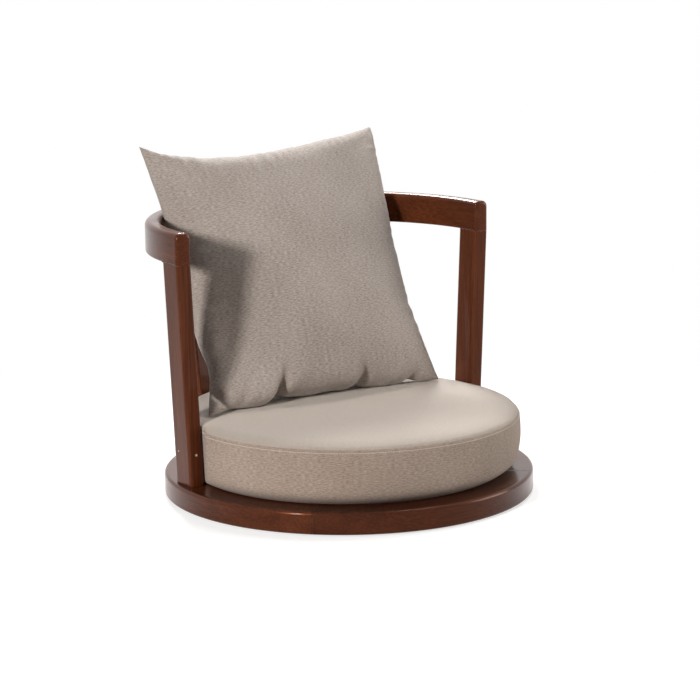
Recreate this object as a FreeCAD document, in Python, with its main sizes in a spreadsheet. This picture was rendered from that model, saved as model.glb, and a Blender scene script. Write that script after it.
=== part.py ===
import FreeCAD, Part

import math
import os
from types import SimpleNamespace

import Sketcher
from FreeCAD import Placement, Rotation, Vector

# Floor chair: a round lacquered base that lies on the floor, two posts that lean outwards, three raked slats, a
# C-shaped rail on top of them, a round box cushion between the posts and a square pillow that leans on the rail.
# The row frame: +Z up, the chair faces -Y, the origin lies on the floor under the centre of the round base.

document = FreeCAD.newDocument("floor_chair")

# Driving dimensions, in millimetres and degrees
SIZES = {
    # Round base: a rim of four solid wood segments with a plywood panel let into it
    "base_diameter": 580,
    "base_thickness": 34,
    "base_top_round": 5,
    "base_foot_round": 3,
    "rim_width": 64,
    "rim_ledge": 14,
    "panel_thickness": 15,
    "panel_gap": 0.3,
    # Half-lapped battens under the panel, flush with the rim's underside
    "batten_width": 60,
    "batten_end_gap": 5,
    "batten_screw_inset": 46,
    # Felt pads under the rim, and one under the crossing of the battens
    "pad_diameter": 26,
    "pad_thickness": 2,
    "pad_inset": 46,
    # Front posts, set in from the base's edge
    "post_width": 25,
    "post_depth": 45,
    "post_front": 21,
    "post_inset": 14,
    "post_round": 5,
    # C-shaped rail: an arc about its own axis, with short straight arms that end over the posts. It overhangs the base
    "rail_overhang": 1,
    "rail_centre": 40,
    "rail_width": 25,
    "rail_height": 48,
    "rail_underside": 380,
    "rail_arm_angle": 50,
    "rail_top_round": 9,
    "rail_foot_round": 1.5,
    "rail_end_round": 5,
    # Raked slats, spread about the rail's axis and set in from the base's edge
    "slat_width": 50,
    "slat_thickness": 16,
    "slat_inset": 13,
    "slat_spread": 24,
    "slat_round": 3,
    "slat_pin_pitch": 26,
    # Dowels, screws and bolts
    "dowel_diameter": 8,
    "dowel_length": 40,
    "dowel_pitch": 24,
    "dowel_spare": 1,
    "bore_fit": 0.05,
    "screw_diameter": 4,
    "screw_head": 8,
    "screw_head_height": 3,
    "screw_hole_spare": 2,
    "slat_screw_length": 50,
    "panel_screw_length": 25,
    "batten_screw_length": 25,
    "bolt_diameter": 6,
    "bolt_length": 35,
    "bolt_head": 10,
    "bolt_head_height": 6,
    "bolt_hole_fit": 0.3,
    "bolt_recess": 15,
    "bolt_recess_depth": 14,
    "washer_diameter": 14,
    "washer_thickness": 1.2,
    "insert_diameter": 10,
    "insert_length": 15,
    # Round box cushion, set in from the base's edge
    "seat_inset": 34,
    "seat_height": 90,
    "seat_crown": 4,
    "seat_shoulder": 4,
    "seat_shoulder_width": 18,
    "seat_shoulder_rise": 1.6,
    "seat_swell": 12,
    "seat_hem_round": 8,
    "seat_skin": 1.5,
    "seat_gap": 0.3,
    "pinch_gap": 0.4,
    "pinch_spare": 2,
    # Zip along the rear of the cushion's band
    "zip_height": 14,
    "zip_width": 6,
    "zip_sweep": 110,
    "zip_chain": 1,
    "zip_gap": 0.3,
    "zip_slider_width": 8,
    "zip_slider_sweep": 2.2,
    "zip_slider_depth": 2,
    "zip_pull_width": 3,
    "zip_pull_sweep": 5.5,
    "zip_pull_depth": 0.8,
    "zip_parking": 5,
    # Throw pillow
    "pillow_width": 444,
    "pillow_height": 443,
    "pillow_fullness": 74,
    "pillow_left_draw": 18,
    "pillow_right_draw": 26.5,
    "pillow_offset": 1,
    "pillow_top_draw": 28,
    "pillow_foot_draw": 15,
    "pillow_skin": 1.5,
    "pillow_seam": 8,
    "pillow_tilt": 26,
    "pillow_gap": 0.4,
}

sheet = document.addObject("Spreadsheet::Sheet", "Sizes")
for row, (alias, value) in enumerate(SIZES.items(), start=1):
    sheet.set(f"A{row}", alias)
    sheet.set(f"B{row}", str(value))
    sheet.setAlias(f"B{row}", alias)
document.recompute()


class Dim:
    """A length or an angle: its number, and the formula that a property or a constraint is bound to."""

    def __init__(self, number, formula=None):
        self.number = float(number)
        self.formula = formula or f"({self.number!r})"

    def __add__(self, other):
        other = dim(other)
        return Dim(self.number + other.number, f"({self.formula} + {other.formula})")

    def __sub__(self, other):
        other = dim(other)
        return Dim(self.number - other.number, f"({self.formula} - {other.formula})")

    def __mul__(self, other):
        other = dim(other)
        return Dim(self.number * other.number, f"({self.formula} * {other.formula})")

    def __truediv__(self, other):
        other = dim(other)
        return Dim(self.number / other.number, f"({self.formula} / {other.formula})")

    def __neg__(self):
        return Dim(-self.number, f"(-{self.formula})")

    def __rmul__(self, other):
        return dim(other) * self

    def __rsub__(self, other):
        return dim(other) - self


def dim(value):
    return value if isinstance(value, Dim) else Dim(value)


def cosine(angle):
    return Dim(math.cos(math.radians(angle.number)), f"cos({angle.formula})")


def sine(angle):
    return Dim(math.sin(math.radians(angle.number)), f"sin({angle.formula})")


def root(value):
    return Dim(math.sqrt(value.number), f"sqrt({value.formula})")


size = SimpleNamespace(**{alias: Dim(sheet.get(alias), f"Sizes.{alias}") for alias in SIZES})

# Heights and radii that several pieces share
base_radius = size.base_diameter / 2
base_foot = size.pad_thickness
base_top = base_foot + size.base_thickness
panel_foot = base_top - size.panel_thickness
batten_thickness = panel_foot - base_foot
rim_inner = base_radius - size.rim_width
panel_radius = rim_inner + size.rim_ledge
panel_screw_radius = panel_radius - size.rim_ledge / 2
rail_top = size.rail_underside + size.rail_height
rail_radius = base_radius + size.rail_overhang
rail_inner = rail_radius - size.rail_width
rail_middle = rail_radius - size.rail_width / 2
arm_straight = size.rail_centre - size.post_front
post_foot_middle = base_radius - size.post_inset - size.post_width / 2
post_lean = rail_middle - post_foot_middle
post_middle_y = size.post_front + size.post_depth / 2
slat_foot_radius = base_radius - size.rail_centre - size.slat_inset
seat_radius = base_radius - size.seat_inset
seat_foot = base_top + size.seat_gap
seat_seam = seat_foot + size.seat_height
seat_top = seat_seam + size.seat_shoulder + size.seat_crown

QUARTERS = {"right": 0, "rear": 1, "left": 2, "front": 3}
SIDES = {"right": 1, "left": -1}
SLATS = {"right": -1, "centre": 0, "left": 1}
PANEL_SCREWS = 8
PADS = 6

parts = {}


def bind(feature, name, value):
    setattr(feature, name, value.number)
    feature.setExpression(name, value.formula)


def new_body(name):
    parts[name] = document.addObject("PartDesign::Body", name)
    return parts[name]


def new_sketch(body, plane, height=None, turn=None):
    """A sketch on an origin plane of the body, moved along the plane's normal or turned about the sketch's own Y."""
    sketch = body.newObject("Sketcher::SketchObject", "Sketch")
    support = next(item for item in body.Origin.OriginFeatures if item.Role == plane)
    sketch.AttachmentSupport = [(support, "")]
    sketch.MapMode = "FlatFace"
    if turn is not None:
        sketch.AttachmentOffset = Placement(Vector(), Rotation(Vector(0, 1, 0), turn.number))
    if height is not None:
        sketch.setExpression("AttachmentOffset.Base.z", height.formula)
    return sketch


def fix_point(sketch, line, end, x, y):
    for kind, axis, value in (("DistanceX", -2, dim(x)), ("DistanceY", -1, dim(y))):
        if value.number == 0:
            sketch.addConstraint(Sketcher.Constraint("PointOnObject", line, end, axis))
            continue
        index = sketch.addConstraint(Sketcher.Constraint(kind, -1, 1, line, end, value.number))
        sketch.setExpression(f"Constraints[{index}]", value.formula)


def outline(sketch, points, rises=None):
    """A closed outline through the points. rises gives the height of the arc that leaves a point, to the right."""
    rises = rises or {}
    points = [(dim(x), dim(y)) for x, y in points]
    ends = []
    for index, (start, stop) in enumerate(zip(points, points[1:] + points[:1])):
        first = Vector(start[0].number, start[1].number, 0)
        last = Vector(stop[0].number, stop[1].number, 0)
        if index not in rises:
            ends.append((sketch.addGeometry(Part.LineSegment(first, last), False), 1, 2))
            continue
        rise = rises[index]
        run = last - first
        middle = (first + last) / 2 + Vector(run.y, -run.x, 0).normalize() * rise.number
        arc = sketch.addGeometry(Part.Arc(first, middle, last), False)
        forward = sketch.getPoint(arc, 1).distanceToPoint(first) < sketch.getPoint(arc, 2).distanceToPoint(first)
        ends.append((arc, 1, 2) if forward else (arc, 2, 1))
        across, along = stop[0] - start[0], stop[1] - start[1]
        radius = ((across * across + along * along) / 4 + rise * rise) / (2 * rise)
        constraint = sketch.addConstraint(Sketcher.Constraint("Radius", arc, radius.number))
        sketch.setExpression(f"Constraints[{constraint}]", radius.formula)
    for index, (line, start, stop) in enumerate(ends):
        following, next_start, _ = ends[(index + 1) % len(ends)]
        sketch.addConstraint(Sketcher.Constraint("Coincident", line, stop, following, next_start))
        fix_point(sketch, line, start, *points[index])


def rectangle(sketch, x_low, x_high, y_low, y_high):
    outline(sketch, [(x_low, y_low), (x_high, y_low), (x_high, y_high), (x_low, y_high)])


def circles(sketch, places, diameter):
    for x, y in places:
        x, y = dim(x), dim(y)
        ring = sketch.addGeometry(Part.Circle(Vector(x.number, y.number, 0), Vector(0, 0, 1), diameter.number / 2))
        constraint = sketch.addConstraint(Sketcher.Constraint("Diameter", ring, diameter.number))
        sketch.setExpression(f"Constraints[{constraint}]", diameter.formula)
        fix_point(sketch, ring, 3, x, y)


def pad(body, sketch, length, symmetric=False):
    feature = body.newObject("PartDesign::Pad", "Pad")
    feature.Profile = sketch
    bind(feature, "Length", length)
    feature.SideType = "Symmetric" if symmetric else "One side"
    return feature


def pocket(body, sketch, length=None, upwards=False, symmetric=False):
    """Cuts the sketch against its normal, right through or to a depth, and makes sure that wood was taken away."""
    document.recompute()
    before = body.Shape.Volume
    feature = body.newObject("PartDesign::Pocket", "Pocket")
    feature.Profile = sketch
    feature.Reversed = upwards
    feature.SideType = "Symmetric" if symmetric else "One side"
    if length is None:
        feature.Type = "ThroughAll"
    else:
        bind(feature, "Length", length)
    document.recompute()
    if not body.Shape.Volume < before:
        raise RuntimeError(f"{body.Name}: {feature.Name} cuts nothing")
    return feature


def revolve(body, sketch, angle, symmetric=False, backwards=False):
    feature = body.newObject("PartDesign::Revolution", "Revolution")
    feature.Profile = sketch
    feature.ReferenceAxis = (sketch, ["V_Axis"])
    bind(feature, "Angle", angle)
    feature.Midplane = symmetric
    feature.Reversed = backwards
    return feature


def fillet(body, radius, chosen):
    document.recompute()
    base = body.Tip
    edges = [f"Edge{number}" for number, edge in enumerate(base.Shape.Edges, start=1) if chosen(edge)]
    feature = body.newObject("PartDesign::Fillet", "Fillet")
    feature.Base = (base, edges)
    bind(feature, "Radius", radius)
    return feature


def at_height(edge, height):
    return all(abs(vertex.Z - height.number) < 0.01 for vertex in edge.Vertexes)


def is_arc(edge):
    return isinstance(edge.Curve, Part.Circle)


def steep(edge):
    return isinstance(edge.Curve, (Part.Line, Part.LineSegment)) and abs(edge.tangentAt(edge.FirstParameter).z) > 0.5


def group(name, members):
    parts[name] = document.addObject("Part::Compound", name)
    parts[name].Links = members
    return parts[name]


def cylinder(diameter, length, foot, direction=Vector(0, 0, 1)):
    """A turned pin that starts at foot, given in numbers, and runs along direction."""
    pin = document.addObject("Part::Cylinder", "Pin")
    bind(pin, "Radius", diameter / 2)
    bind(pin, "Height", length)
    pin.Placement = Placement(foot, Rotation(Vector(0, 0, 1), direction))
    return pin


def headed(diameter, length, head, head_height, seat, direction):
    """A screw or bolt whose head rests with its underside at seat and whose shank runs along direction."""
    shank = cylinder(diameter, length, seat, direction)
    cap = cylinder(head, head_height, seat - direction * head_height.number, direction)
    whole = document.addObject("Part::Fuse", "Fastener")
    whole.Base = shank
    whole.Tool = cap
    return whole


def place(x, y, z):
    return Vector(dim(x).number, dim(y).number, dim(z).number)


def polar(radius, angle, step=0, centre=0):
    """A point at a radius and angle about a point on the X axis, moved sideways by step."""
    step, centre = dim(step), dim(centre)
    return (centre + radius * cosine(angle) - step * sine(angle), radius * sine(angle) + step * cosine(angle))


UP = Vector(0, 0, 1)
DOWN = Vector(0, 0, -1)
QUARTER_TURN = Dim(90)
HALF_QUARTER = Dim(45)

# Fastener places in the row frame
post_pin_ys = [post_middle_y - size.post_depth / 4, post_middle_y + size.post_depth / 4]
slat_pin_steps = [-size.slat_pin_pitch / 2, size.slat_pin_pitch / 2]
rim_dowel_radii = [base_radius - size.rim_width / 4, base_radius - size.rim_width / 4 - size.dowel_pitch]
rim_dowel_height = base_foot + (size.base_thickness - size.panel_thickness) / 2
rail_dowel_heights = [size.rail_underside + size.rail_height / 2 - size.dowel_pitch / 2,
                      size.rail_underside + size.rail_height / 2 + size.dowel_pitch / 2]
batten_screw_outer = rim_inner - size.batten_screw_inset
batten_screw_steps = [batten_screw_outer * share for share in (-1, -1 / 2, 1 / 2, 1)]

# Bore sizes
dowel_bore = size.dowel_diameter + 2 * size.bore_fit
dowel_depth = size.dowel_length / 2 + size.dowel_spare
screw_bore = size.screw_diameter + 2 * size.bore_fit
bolt_bore = size.bolt_diameter + 2 * size.bolt_hole_fit
head_bore = size.screw_head + 2 * size.bolt_hole_fit
bolt_seat = base_foot + size.bolt_recess_depth
slat_screw_seat = base_foot + size.screw_head_height + size.screw_hole_spare
panel_screw_seat = base_top - size.screw_head_height
batten_screw_seat = base_foot + size.screw_head_height


def slat_places(steps, radius):
    """Pin places under or over the slats, in a frame whose X axis points to the rear."""
    places = []
    for turn in SLATS.values():
        places += [polar(radius, turn * size.slat_spread, step) for step in steps]
    return places


def rim_segment(name, quarter):
    """A quarter of the rim, drawn about +X and turned to its place, with its ledge, rounded edges and bores."""
    body = new_body(f"base_rim_{name}")
    section = new_sketch(body, "XZ_Plane")
    pocket_radius = panel_radius + size.panel_gap
    outline(section, [(rim_inner, base_foot), (base_radius, base_foot), (base_radius, base_top),
                      (pocket_radius, base_top), (pocket_radius, panel_foot), (rim_inner, panel_foot)])
    revolve(body, section, QUARTER_TURN, symmetric=True)

    def outer(edge, height):
        return is_arc(edge) and at_height(edge, height) and abs(edge.Curve.Radius - base_radius.number) < 0.01

    fillet(body, size.base_top_round, lambda edge: outer(edge, base_top))
    fillet(body, size.base_foot_round, lambda edge: outer(edge, base_foot))

    for turn in (HALF_QUARTER, -HALF_QUARTER):
        ends = new_sketch(body, "XZ_Plane", turn=turn)
        circles(ends, [(radius, rim_dowel_height) for radius in rim_dowel_radii], dowel_bore)
        pocket(body, ends, 2 * dowel_depth, symmetric=True)

    step = Dim(360 / PANEL_SCREWS)
    pilots = new_sketch(body, "XY_Plane", panel_foot)
    circles(pilots, [polar(panel_screw_radius, turn) for turn in (step / 2, -step / 2)], screw_bore)
    reach = panel_foot - (panel_screw_seat - size.panel_screw_length) + size.screw_hole_spare
    pocket(body, pilots, reach)

    if name in SIDES:
        places = [(post_foot_middle, SIDES[name] * y) for y in post_pin_ys]
        pocket_down(body, places, base_top, bolt_bore)
        pocket_down(body, places, bolt_seat, size.bolt_recess)
    if name == "rear":
        places = [(size.rail_centre + x, y) for x, y in slat_places(slat_pin_steps, slat_foot_radius)]
        pocket_down(body, places, base_top, screw_bore)
        pocket_down(body, places, slat_screw_seat, head_bore)
    body.Placement = Placement(Vector(), Rotation(UP, 90 * quarter))


def pocket_down(body, places, height, diameter, depth=None):
    sketch = new_sketch(body, "XY_Plane", height)
    circles(sketch, places, diameter)
    pocket(body, sketch, depth)


def pocket_up(body, places, height, diameter, depth):
    sketch = new_sketch(body, "XY_Plane", height)
    circles(sketch, places, diameter)
    pocket(body, sketch, depth, upwards=True)


def rim_dowels():
    pins = []
    for quarter in QUARTERS.values():
        angle = math.radians(90 * quarter + 45)
        outwards = Vector(math.cos(angle), math.sin(angle), 0)
        along = Vector(-outwards.y, outwards.x, 0)
        for radius in rim_dowel_radii:
            foot = outwards * radius.number + UP * rim_dowel_height.number - along * size.dowel_length.number / 2
            pins.append(cylinder(size.dowel_diameter, size.dowel_length, foot, along))
    group("rim_dowels", pins)


def panel_screw_places():
    turns = [Dim(360 / PANEL_SCREWS) * (count + 0.5) for count in range(PANEL_SCREWS)]
    return [polar(panel_screw_radius, turn) for turn in turns]


def batten_screw_places():
    return [(step, 0) for step in batten_screw_steps] + [(0, step) for step in batten_screw_steps]


def base_panel():
    body = new_body("base_panel")
    disc = new_sketch(body, "XY_Plane", panel_foot)
    circles(disc, [(0, 0)], 2 * panel_radius)
    pad(body, disc, size.panel_thickness)
    pocket_down(body, panel_screw_places(), base_top, screw_bore)
    pocket_down(body, panel_screw_places(), base_top, head_bore, size.screw_head_height)
    depth = batten_screw_seat + size.batten_screw_length - panel_foot + size.screw_hole_spare
    pocket_up(body, batten_screw_places(), panel_foot, screw_bore, depth)


def batten(name, plane, notch_above):
    """A batten with half its thickness taken out where it crosses the other one."""
    body = new_body(name)
    half = rim_inner - size.batten_end_gap
    lap = size.batten_width / 2
    middle = base_foot + batten_thickness / 2
    side = new_sketch(body, plane)
    if notch_above:
        notched = [(lap, panel_foot), (lap, middle), (-lap, middle), (-lap, panel_foot)]
        outline(side, [(-half, base_foot), (half, base_foot), (half, panel_foot), *notched, (-half, panel_foot)])
    else:
        notched = [(-lap, base_foot), (-lap, middle), (lap, middle), (lap, base_foot)]
        outline(side, [(-half, base_foot), *notched, (half, base_foot), (half, panel_foot), (-half, panel_foot)])
    pad(body, side, size.batten_width, symmetric=True)
    along = [(step, 0) if plane == "XZ_Plane" else (0, step) for step in batten_screw_steps]
    pocket_down(body, along, panel_foot, screw_bore)
    pocket_up(body, along, base_foot, head_bore, size.screw_head_height)


def base_fasteners():
    sizes = (size.screw_diameter, size.panel_screw_length, size.screw_head, size.screw_head_height)
    group("panel_screws", [headed(*sizes, place(x, y, panel_screw_seat), DOWN) for x, y in panel_screw_places()])
    sizes = (size.screw_diameter, size.batten_screw_length, size.screw_head, size.screw_head_height)
    group("batten_screws", [headed(*sizes, place(x, y, batten_screw_seat), UP) for x, y in batten_screw_places()])
    turns = [Dim(360 / PADS) * count for count in range(PADS)]
    places = [(0, 0)] + [polar(base_radius - size.pad_inset, turn) for turn in turns]
    group("floor_pads", [cylinder(size.pad_diameter, size.pad_thickness, place(x, y, 0)) for x, y in places])


def front_post(name, side):
    """A flat post seen from the front: it leans outwards, from its foot on the base to its head under the rail."""
    body = new_body(f"front_post_{name}")
    front = new_sketch(body, "XZ_Plane", -post_middle_y)
    half = size.post_width / 2
    outline(front, [(side * (post_foot_middle - half), base_top), (side * (post_foot_middle + half), base_top),
                    (side * (rail_middle + half), size.rail_underside),
                    (side * (rail_middle - half), size.rail_underside)])
    pad(body, front, size.post_depth, symmetric=True)
    fillet(body, size.post_round, steep)
    pocket_up(body, [(side * post_foot_middle, y) for y in post_pin_ys], base_top,
              size.insert_diameter + 2 * size.bore_fit, size.insert_length + size.dowel_spare)
    pocket_down(body, [(side * rail_middle, y) for y in post_pin_ys], size.rail_underside, dowel_bore, dowel_depth)


def post_fasteners():
    bolts, washers, inserts, dowels = [], [], [], []
    for side in SIDES.values():
        for y in post_pin_ys:
            washer_foot = bolt_seat - size.washer_thickness
            foot = place(side * post_foot_middle, y, washer_foot)
            bolts.append(headed(size.bolt_diameter, size.bolt_length, size.bolt_head, size.bolt_head_height, foot, UP))
            washers.append(ring(size.washer_diameter, size.washer_thickness, foot))
            inserts.append(ring(size.insert_diameter, size.insert_length, place(side * post_foot_middle, y, base_top)))
            foot = place(side * rail_middle, y, size.rail_underside - size.dowel_length / 2)
            dowels.append(cylinder(size.dowel_diameter, size.dowel_length, foot))
    group("post_bolts", bolts)
    group("post_washers", washers)
    group("post_inserts", inserts)
    group("post_top_dowels", dowels)


def ring(diameter, length, foot):
    """A washer or a threaded sleeve: a cylinder with the bolt's bore in it."""
    whole = document.addObject("Part::Cut", "Ring")
    whole.Base = cylinder(diameter, length, foot)
    whole.Tool = cylinder(size.bolt_diameter + 2 * size.bore_fit, length, foot)
    return whole


def back_slat(name, turn):
    """A raked slat, drawn in the upright plane through the rail's axis, with the width to both sides of it."""
    body = new_body(f"back_slat_{name}")
    side = new_sketch(body, "XZ_Plane")
    half = size.slat_thickness / 2
    outline(side, [(slat_foot_radius - half, base_top), (slat_foot_radius + half, base_top),
                   (rail_middle + half, size.rail_underside), (rail_middle - half, size.rail_underside)])
    pad(body, side, size.slat_width, symmetric=True)
    fillet(body, size.slat_round, steep)
    pocket_down(body, [(rail_middle, step) for step in slat_pin_steps], size.rail_underside, dowel_bore, dowel_depth)
    reach = slat_screw_seat + size.slat_screw_length - base_top + size.screw_hole_spare
    pocket_up(body, [(slat_foot_radius, step) for step in slat_pin_steps], base_top, screw_bore, reach)
    body.Placement = Placement(place(0, size.rail_centre, 0), Rotation(UP, 90 + turn * size.slat_spread.number))


def slat_fasteners():
    rearwards = Rotation(UP, 90)
    about = place(0, size.rail_centre, 0)
    sizes = (size.screw_diameter, size.slat_screw_length, size.screw_head, size.screw_head_height)
    screws = [headed(*sizes, about + rearwards.multVec(place(x, y, slat_screw_seat)), UP)
              for x, y in slat_places(slat_pin_steps, slat_foot_radius)]
    foot = size.rail_underside - size.dowel_length / 2
    dowels = [cylinder(size.dowel_diameter, size.dowel_length, about + rearwards.multVec(place(x, y, foot)))
              for x, y in slat_places(slat_pin_steps, rail_middle)]
    group("slat_screws", screws)
    group("slat_dowels", dowels)


def rail_section(body, side=1):
    sketch = new_sketch(body, "XZ_Plane")
    rectangle(sketch, side * rail_inner, side * rail_radius, size.rail_underside, rail_top)
    return sketch


def round_rail(body):
    """Rounds the long edges: the arcs and the straight edges that run on from them."""
    def long_edge(edge, height):
        if not at_height(edge, height):
            return False
        return is_arc(edge) or abs(edge.tangentAt(edge.FirstParameter).y) > 0.999

    fillet(body, size.rail_top_round, lambda edge: long_edge(edge, rail_top))
    fillet(body, size.rail_foot_round, lambda edge: long_edge(edge, size.rail_underside))


def rail_joint(body, side, turn):
    sketch = new_sketch(body, "XZ_Plane", turn=turn)
    circles(sketch, [(side * rail_middle, height) for height in rail_dowel_heights], dowel_bore)
    pocket(body, sketch, 2 * dowel_depth, symmetric=True)


def rail_arm(name, side):
    """An arm of the rail: an arc from over the post to the joint, and the straight end that runs forward. Its
    lower edge stays square over the post, so that the glued joint is flush."""
    body = new_body(f"rail_arm_{name}")
    revolve(body, rail_section(body, side), size.rail_arm_angle, backwards=side < 0)
    pad(body, rail_section(body, side), arm_straight)
    round_rail(body)
    seat = new_sketch(body, "XY_Plane", size.rail_underside)
    rectangle(seat, side * rail_inner, side * rail_radius, -arm_straight, size.post_depth - arm_straight)
    pad(body, seat, size.rail_foot_round)
    front = -arm_straight.number
    fillet(body, size.rail_end_round, lambda edge: all(abs(vertex.Y - front) < 0.01 for vertex in edge.Vertexes)
           and not at_height(edge, size.rail_underside))
    rail_joint(body, side, side * size.rail_arm_angle)
    places = [(side * rail_middle, y - size.rail_centre) for y in post_pin_ys]
    pocket_up(body, places, size.rail_underside, dowel_bore, dowel_depth)
    body.Placement = Placement(place(0, size.rail_centre, 0), Rotation())


def rail_back():
    body = new_body("rail_back")
    half_angle = QUARTER_TURN - size.rail_arm_angle
    revolve(body, rail_section(body), 2 * half_angle, symmetric=True)
    round_rail(body)
    for turn in (half_angle, -half_angle):
        rail_joint(body, 1, turn)
    pocket_up(body, slat_places(slat_pin_steps, rail_middle), size.rail_underside, dowel_bore, dowel_depth)
    body.Placement = Placement(place(0, size.rail_centre, 0), Rotation(UP, 90))


def rail_dowels():
    pins = []
    for side in SIDES.values():
        angle = math.radians(size.rail_arm_angle.number)
        outwards = Vector(side * math.cos(angle), math.sin(angle), 0)
        along = Vector(-outwards.y, outwards.x, 0)
        for height in rail_dowel_heights:
            middle = place(0, size.rail_centre, height) + outwards * rail_middle.number
            pins.append(cylinder(size.dowel_diameter, size.dowel_length,
                                 middle - along * size.dowel_length.number / 2, along))
    group("rail_dowels", pins)


def cushion_form(name, inset):
    """The round cushion as a turned form: a low crown, a rounded shoulder down to the seam, and a swelling band.
    The two posts pinch it."""
    body = document.addObject("PartDesign::Body", name)
    section = new_sketch(body, "XZ_Plane")
    radius = seat_radius - inset
    foot, seam = seat_foot + inset, seat_seam - inset
    hem = foot + size.seat_hem_round
    crown = radius - size.seat_shoulder_width
    shoulder = seam + size.seat_shoulder
    outline(section, [(0, foot), (radius - size.seat_hem_round, foot), (radius, hem), (radius, seam),
                      (crown, shoulder), (0, shoulder + size.seat_crown)],
            rises={1: size.seat_hem_round * (1 - 1 / 2 ** 0.5), 2: size.seat_swell,
                   3: size.seat_shoulder_rise, 4: crown_rise(crown)})
    revolve(body, section, Dim(360))
    low, high = base_top, seat_top
    lean = post_lean / (size.rail_underside - base_top)
    for side in SIDES.values():
        pinch = new_sketch(body, "XZ_Plane", -post_middle_y)
        face = post_foot_middle - size.post_width / 2 - size.pinch_gap - inset
        far = seat_radius + 2 * size.seat_swell
        outline(pinch, [(side * face, low), (side * far, low), (side * far, high),
                        (side * (face + lean * (high - low)), high)])
        pocket(body, pinch, size.post_depth + 2 * (size.pinch_spare + inset), symmetric=True)
    return body


def crown_rise(radius):
    """The rise of the arc over the half crown, whose full arc rises by the crown and is level at the middle."""
    crown = size.seat_crown
    bend = (radius * radius + crown * crown) / (2 * crown)
    chord = root(radius * radius + crown * crown)
    return bend - root(bend * bend - chord * chord / 4)


def seat_cushion():
    """The cover's top, band and underside are the shell between two turned forms, parted at the two seams."""
    outer = cushion_form("seat_form", Dim(0))
    foam = cushion_form("seat_foam", size.seat_skin)
    parts["seat_foam"] = foam
    shell = document.addObject("Part::Cut", "seat_shell")
    shell.Base = outer
    shell.Tool = foam
    hem = seat_foot + size.seat_hem_round
    spans = {"seat_cover_base": (dim(0), hem), "seat_cover_band": (hem, seat_seam),
             "seat_cover_top": (seat_seam, seat_top + size.seat_crown)}
    for name, (low, high) in spans.items():
        slab = document.addObject("Part::Cylinder", "Slab")
        bind(slab, "Radius", seat_radius + 2 * size.seat_swell)
        bind(slab, "Height", high - low)
        slab.Placement = Placement(place(0, 0, low), Rotation())
        parts[name] = document.addObject("Part::Common", name)
        parts[name].Base = shell
        parts[name].Tool = slab


def band_radius(height):
    """The cushion's radius at a height on its swelling band."""
    half = (size.seat_height - size.seat_hem_round) / 2
    bend = (half * half + size.seat_swell * size.seat_swell) / (2 * size.seat_swell)
    offset = height - (seat_seam - half)
    return seat_radius + size.seat_swell - bend + root(bend * bend - offset * offset)


def band_strip(body, width, near, far, sweep, symmetric=True):
    """A strip that follows the band at the zip's height, between two distances off the fabric."""
    middle = seat_foot + size.zip_height
    low, high = middle - width / 2, middle + width / 2
    section = new_sketch(body, "XZ_Plane")
    outline(section, [(band_radius(low) + near, low), (band_radius(low) + far, low),
                      (band_radius(high) + far, high), (band_radius(high) + near, high)])
    revolve(body, section, sweep, symmetric=symmetric)


def seat_zip():
    chain = new_body("seat_zip")
    gap = size.zip_gap
    band_strip(chain, size.zip_width, gap, gap + size.zip_chain, size.zip_sweep)
    chain.Placement = Placement(Vector(), Rotation(UP, 90))
    slider = new_body("seat_zip_slider")
    near = gap + size.zip_chain + size.zip_gap
    band_strip(slider, size.zip_slider_width, near, near + size.zip_slider_depth, size.zip_slider_sweep)
    far = near + size.zip_slider_depth
    band_strip(slider, size.zip_pull_width, far - size.zip_pull_depth, far, size.zip_pull_sweep, symmetric=False)
    parking = 90 + size.zip_sweep.number / 2 - size.zip_parking.number
    slider.Placement = Placement(Vector(), Rotation(UP, parking))


# Stations up the pillow, as shares of its height, and across it, as shares of its half width
PILLOW_STATIONS = (0, 0.035, 0.12, 0.27, 0.5, 0.73, 0.88, 0.965, 1)
PILLOW_ACROSS = (-1, -0.96, -0.82, -0.5, 0, 0.5, 0.82, 0.96, 1)
# How square the swell is up the pillow and across it, and how far it sags
PILLOW_BELLY = 0.45
PILLOW_FLANK = 0.6
PILLOW_SAG = 0.14
# The right edge draws in most below the middle, and the top edge sags most on the left
PILLOW_RIGHT_BIAS = 1.05
PILLOW_TOP_BIAS = 0.65
# How far above the crown the pillow starts to sink, and in how many steps
PILLOW_START = 8
PILLOW_SETTLING = 8


def pillow_section(share, inset, skin, front):
    """The cover's curve from the left seam to the right seam at one station up the pillow."""
    half_width = size.pillow_width.number / 2 - inset
    height = size.pillow_height.number - 2 * inset
    bow = 4 * share * (1 - share)
    left = size.pillow_left_draw.number * bow - half_width
    right = half_width - size.pillow_right_draw.number * bow * (1 + PILLOW_RIGHT_BIAS * (0.5 - share))
    swell = (size.pillow_fullness.number - skin) * bow ** PILLOW_BELLY * (1 + PILLOW_SAG * (0.5 - share))
    points = []
    for across in PILLOW_ACROSS:
        middle = 1 - across ** 2
        depth = swell * middle ** PILLOW_FLANK
        foot_draw = size.pillow_foot_draw.number * middle * (1 - share) ** 3
        top_draw = size.pillow_top_draw.number * middle * (1 - PILLOW_TOP_BIAS * across) * share ** 3
        rise = inset + height * share + foot_draw - top_draw
        points.append(Vector(left + (right - left) * (across + 1) / 2, -depth if front else depth, rise))
    curve = Part.BSplineCurve()
    curve.interpolate(points)
    return Part.Wire(curve.toShape())


def pillow_half(inset, skin, front):
    """Half a pillow: a face lofted through its sections, closed by the flat face of its seam."""
    sections = [pillow_section(share, inset, skin, front) for share in PILLOW_STATIONS]
    skin_face = Part.makeLoft(sections, False, False).Faces[0]
    seam_face = Part.Face(Part.Wire(Part.__sortEdges__(skin_face.Edges)))
    shell = Part.Shell([skin_face, seam_face])
    shell.sewShape()
    return Part.Solid(shell)


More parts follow.
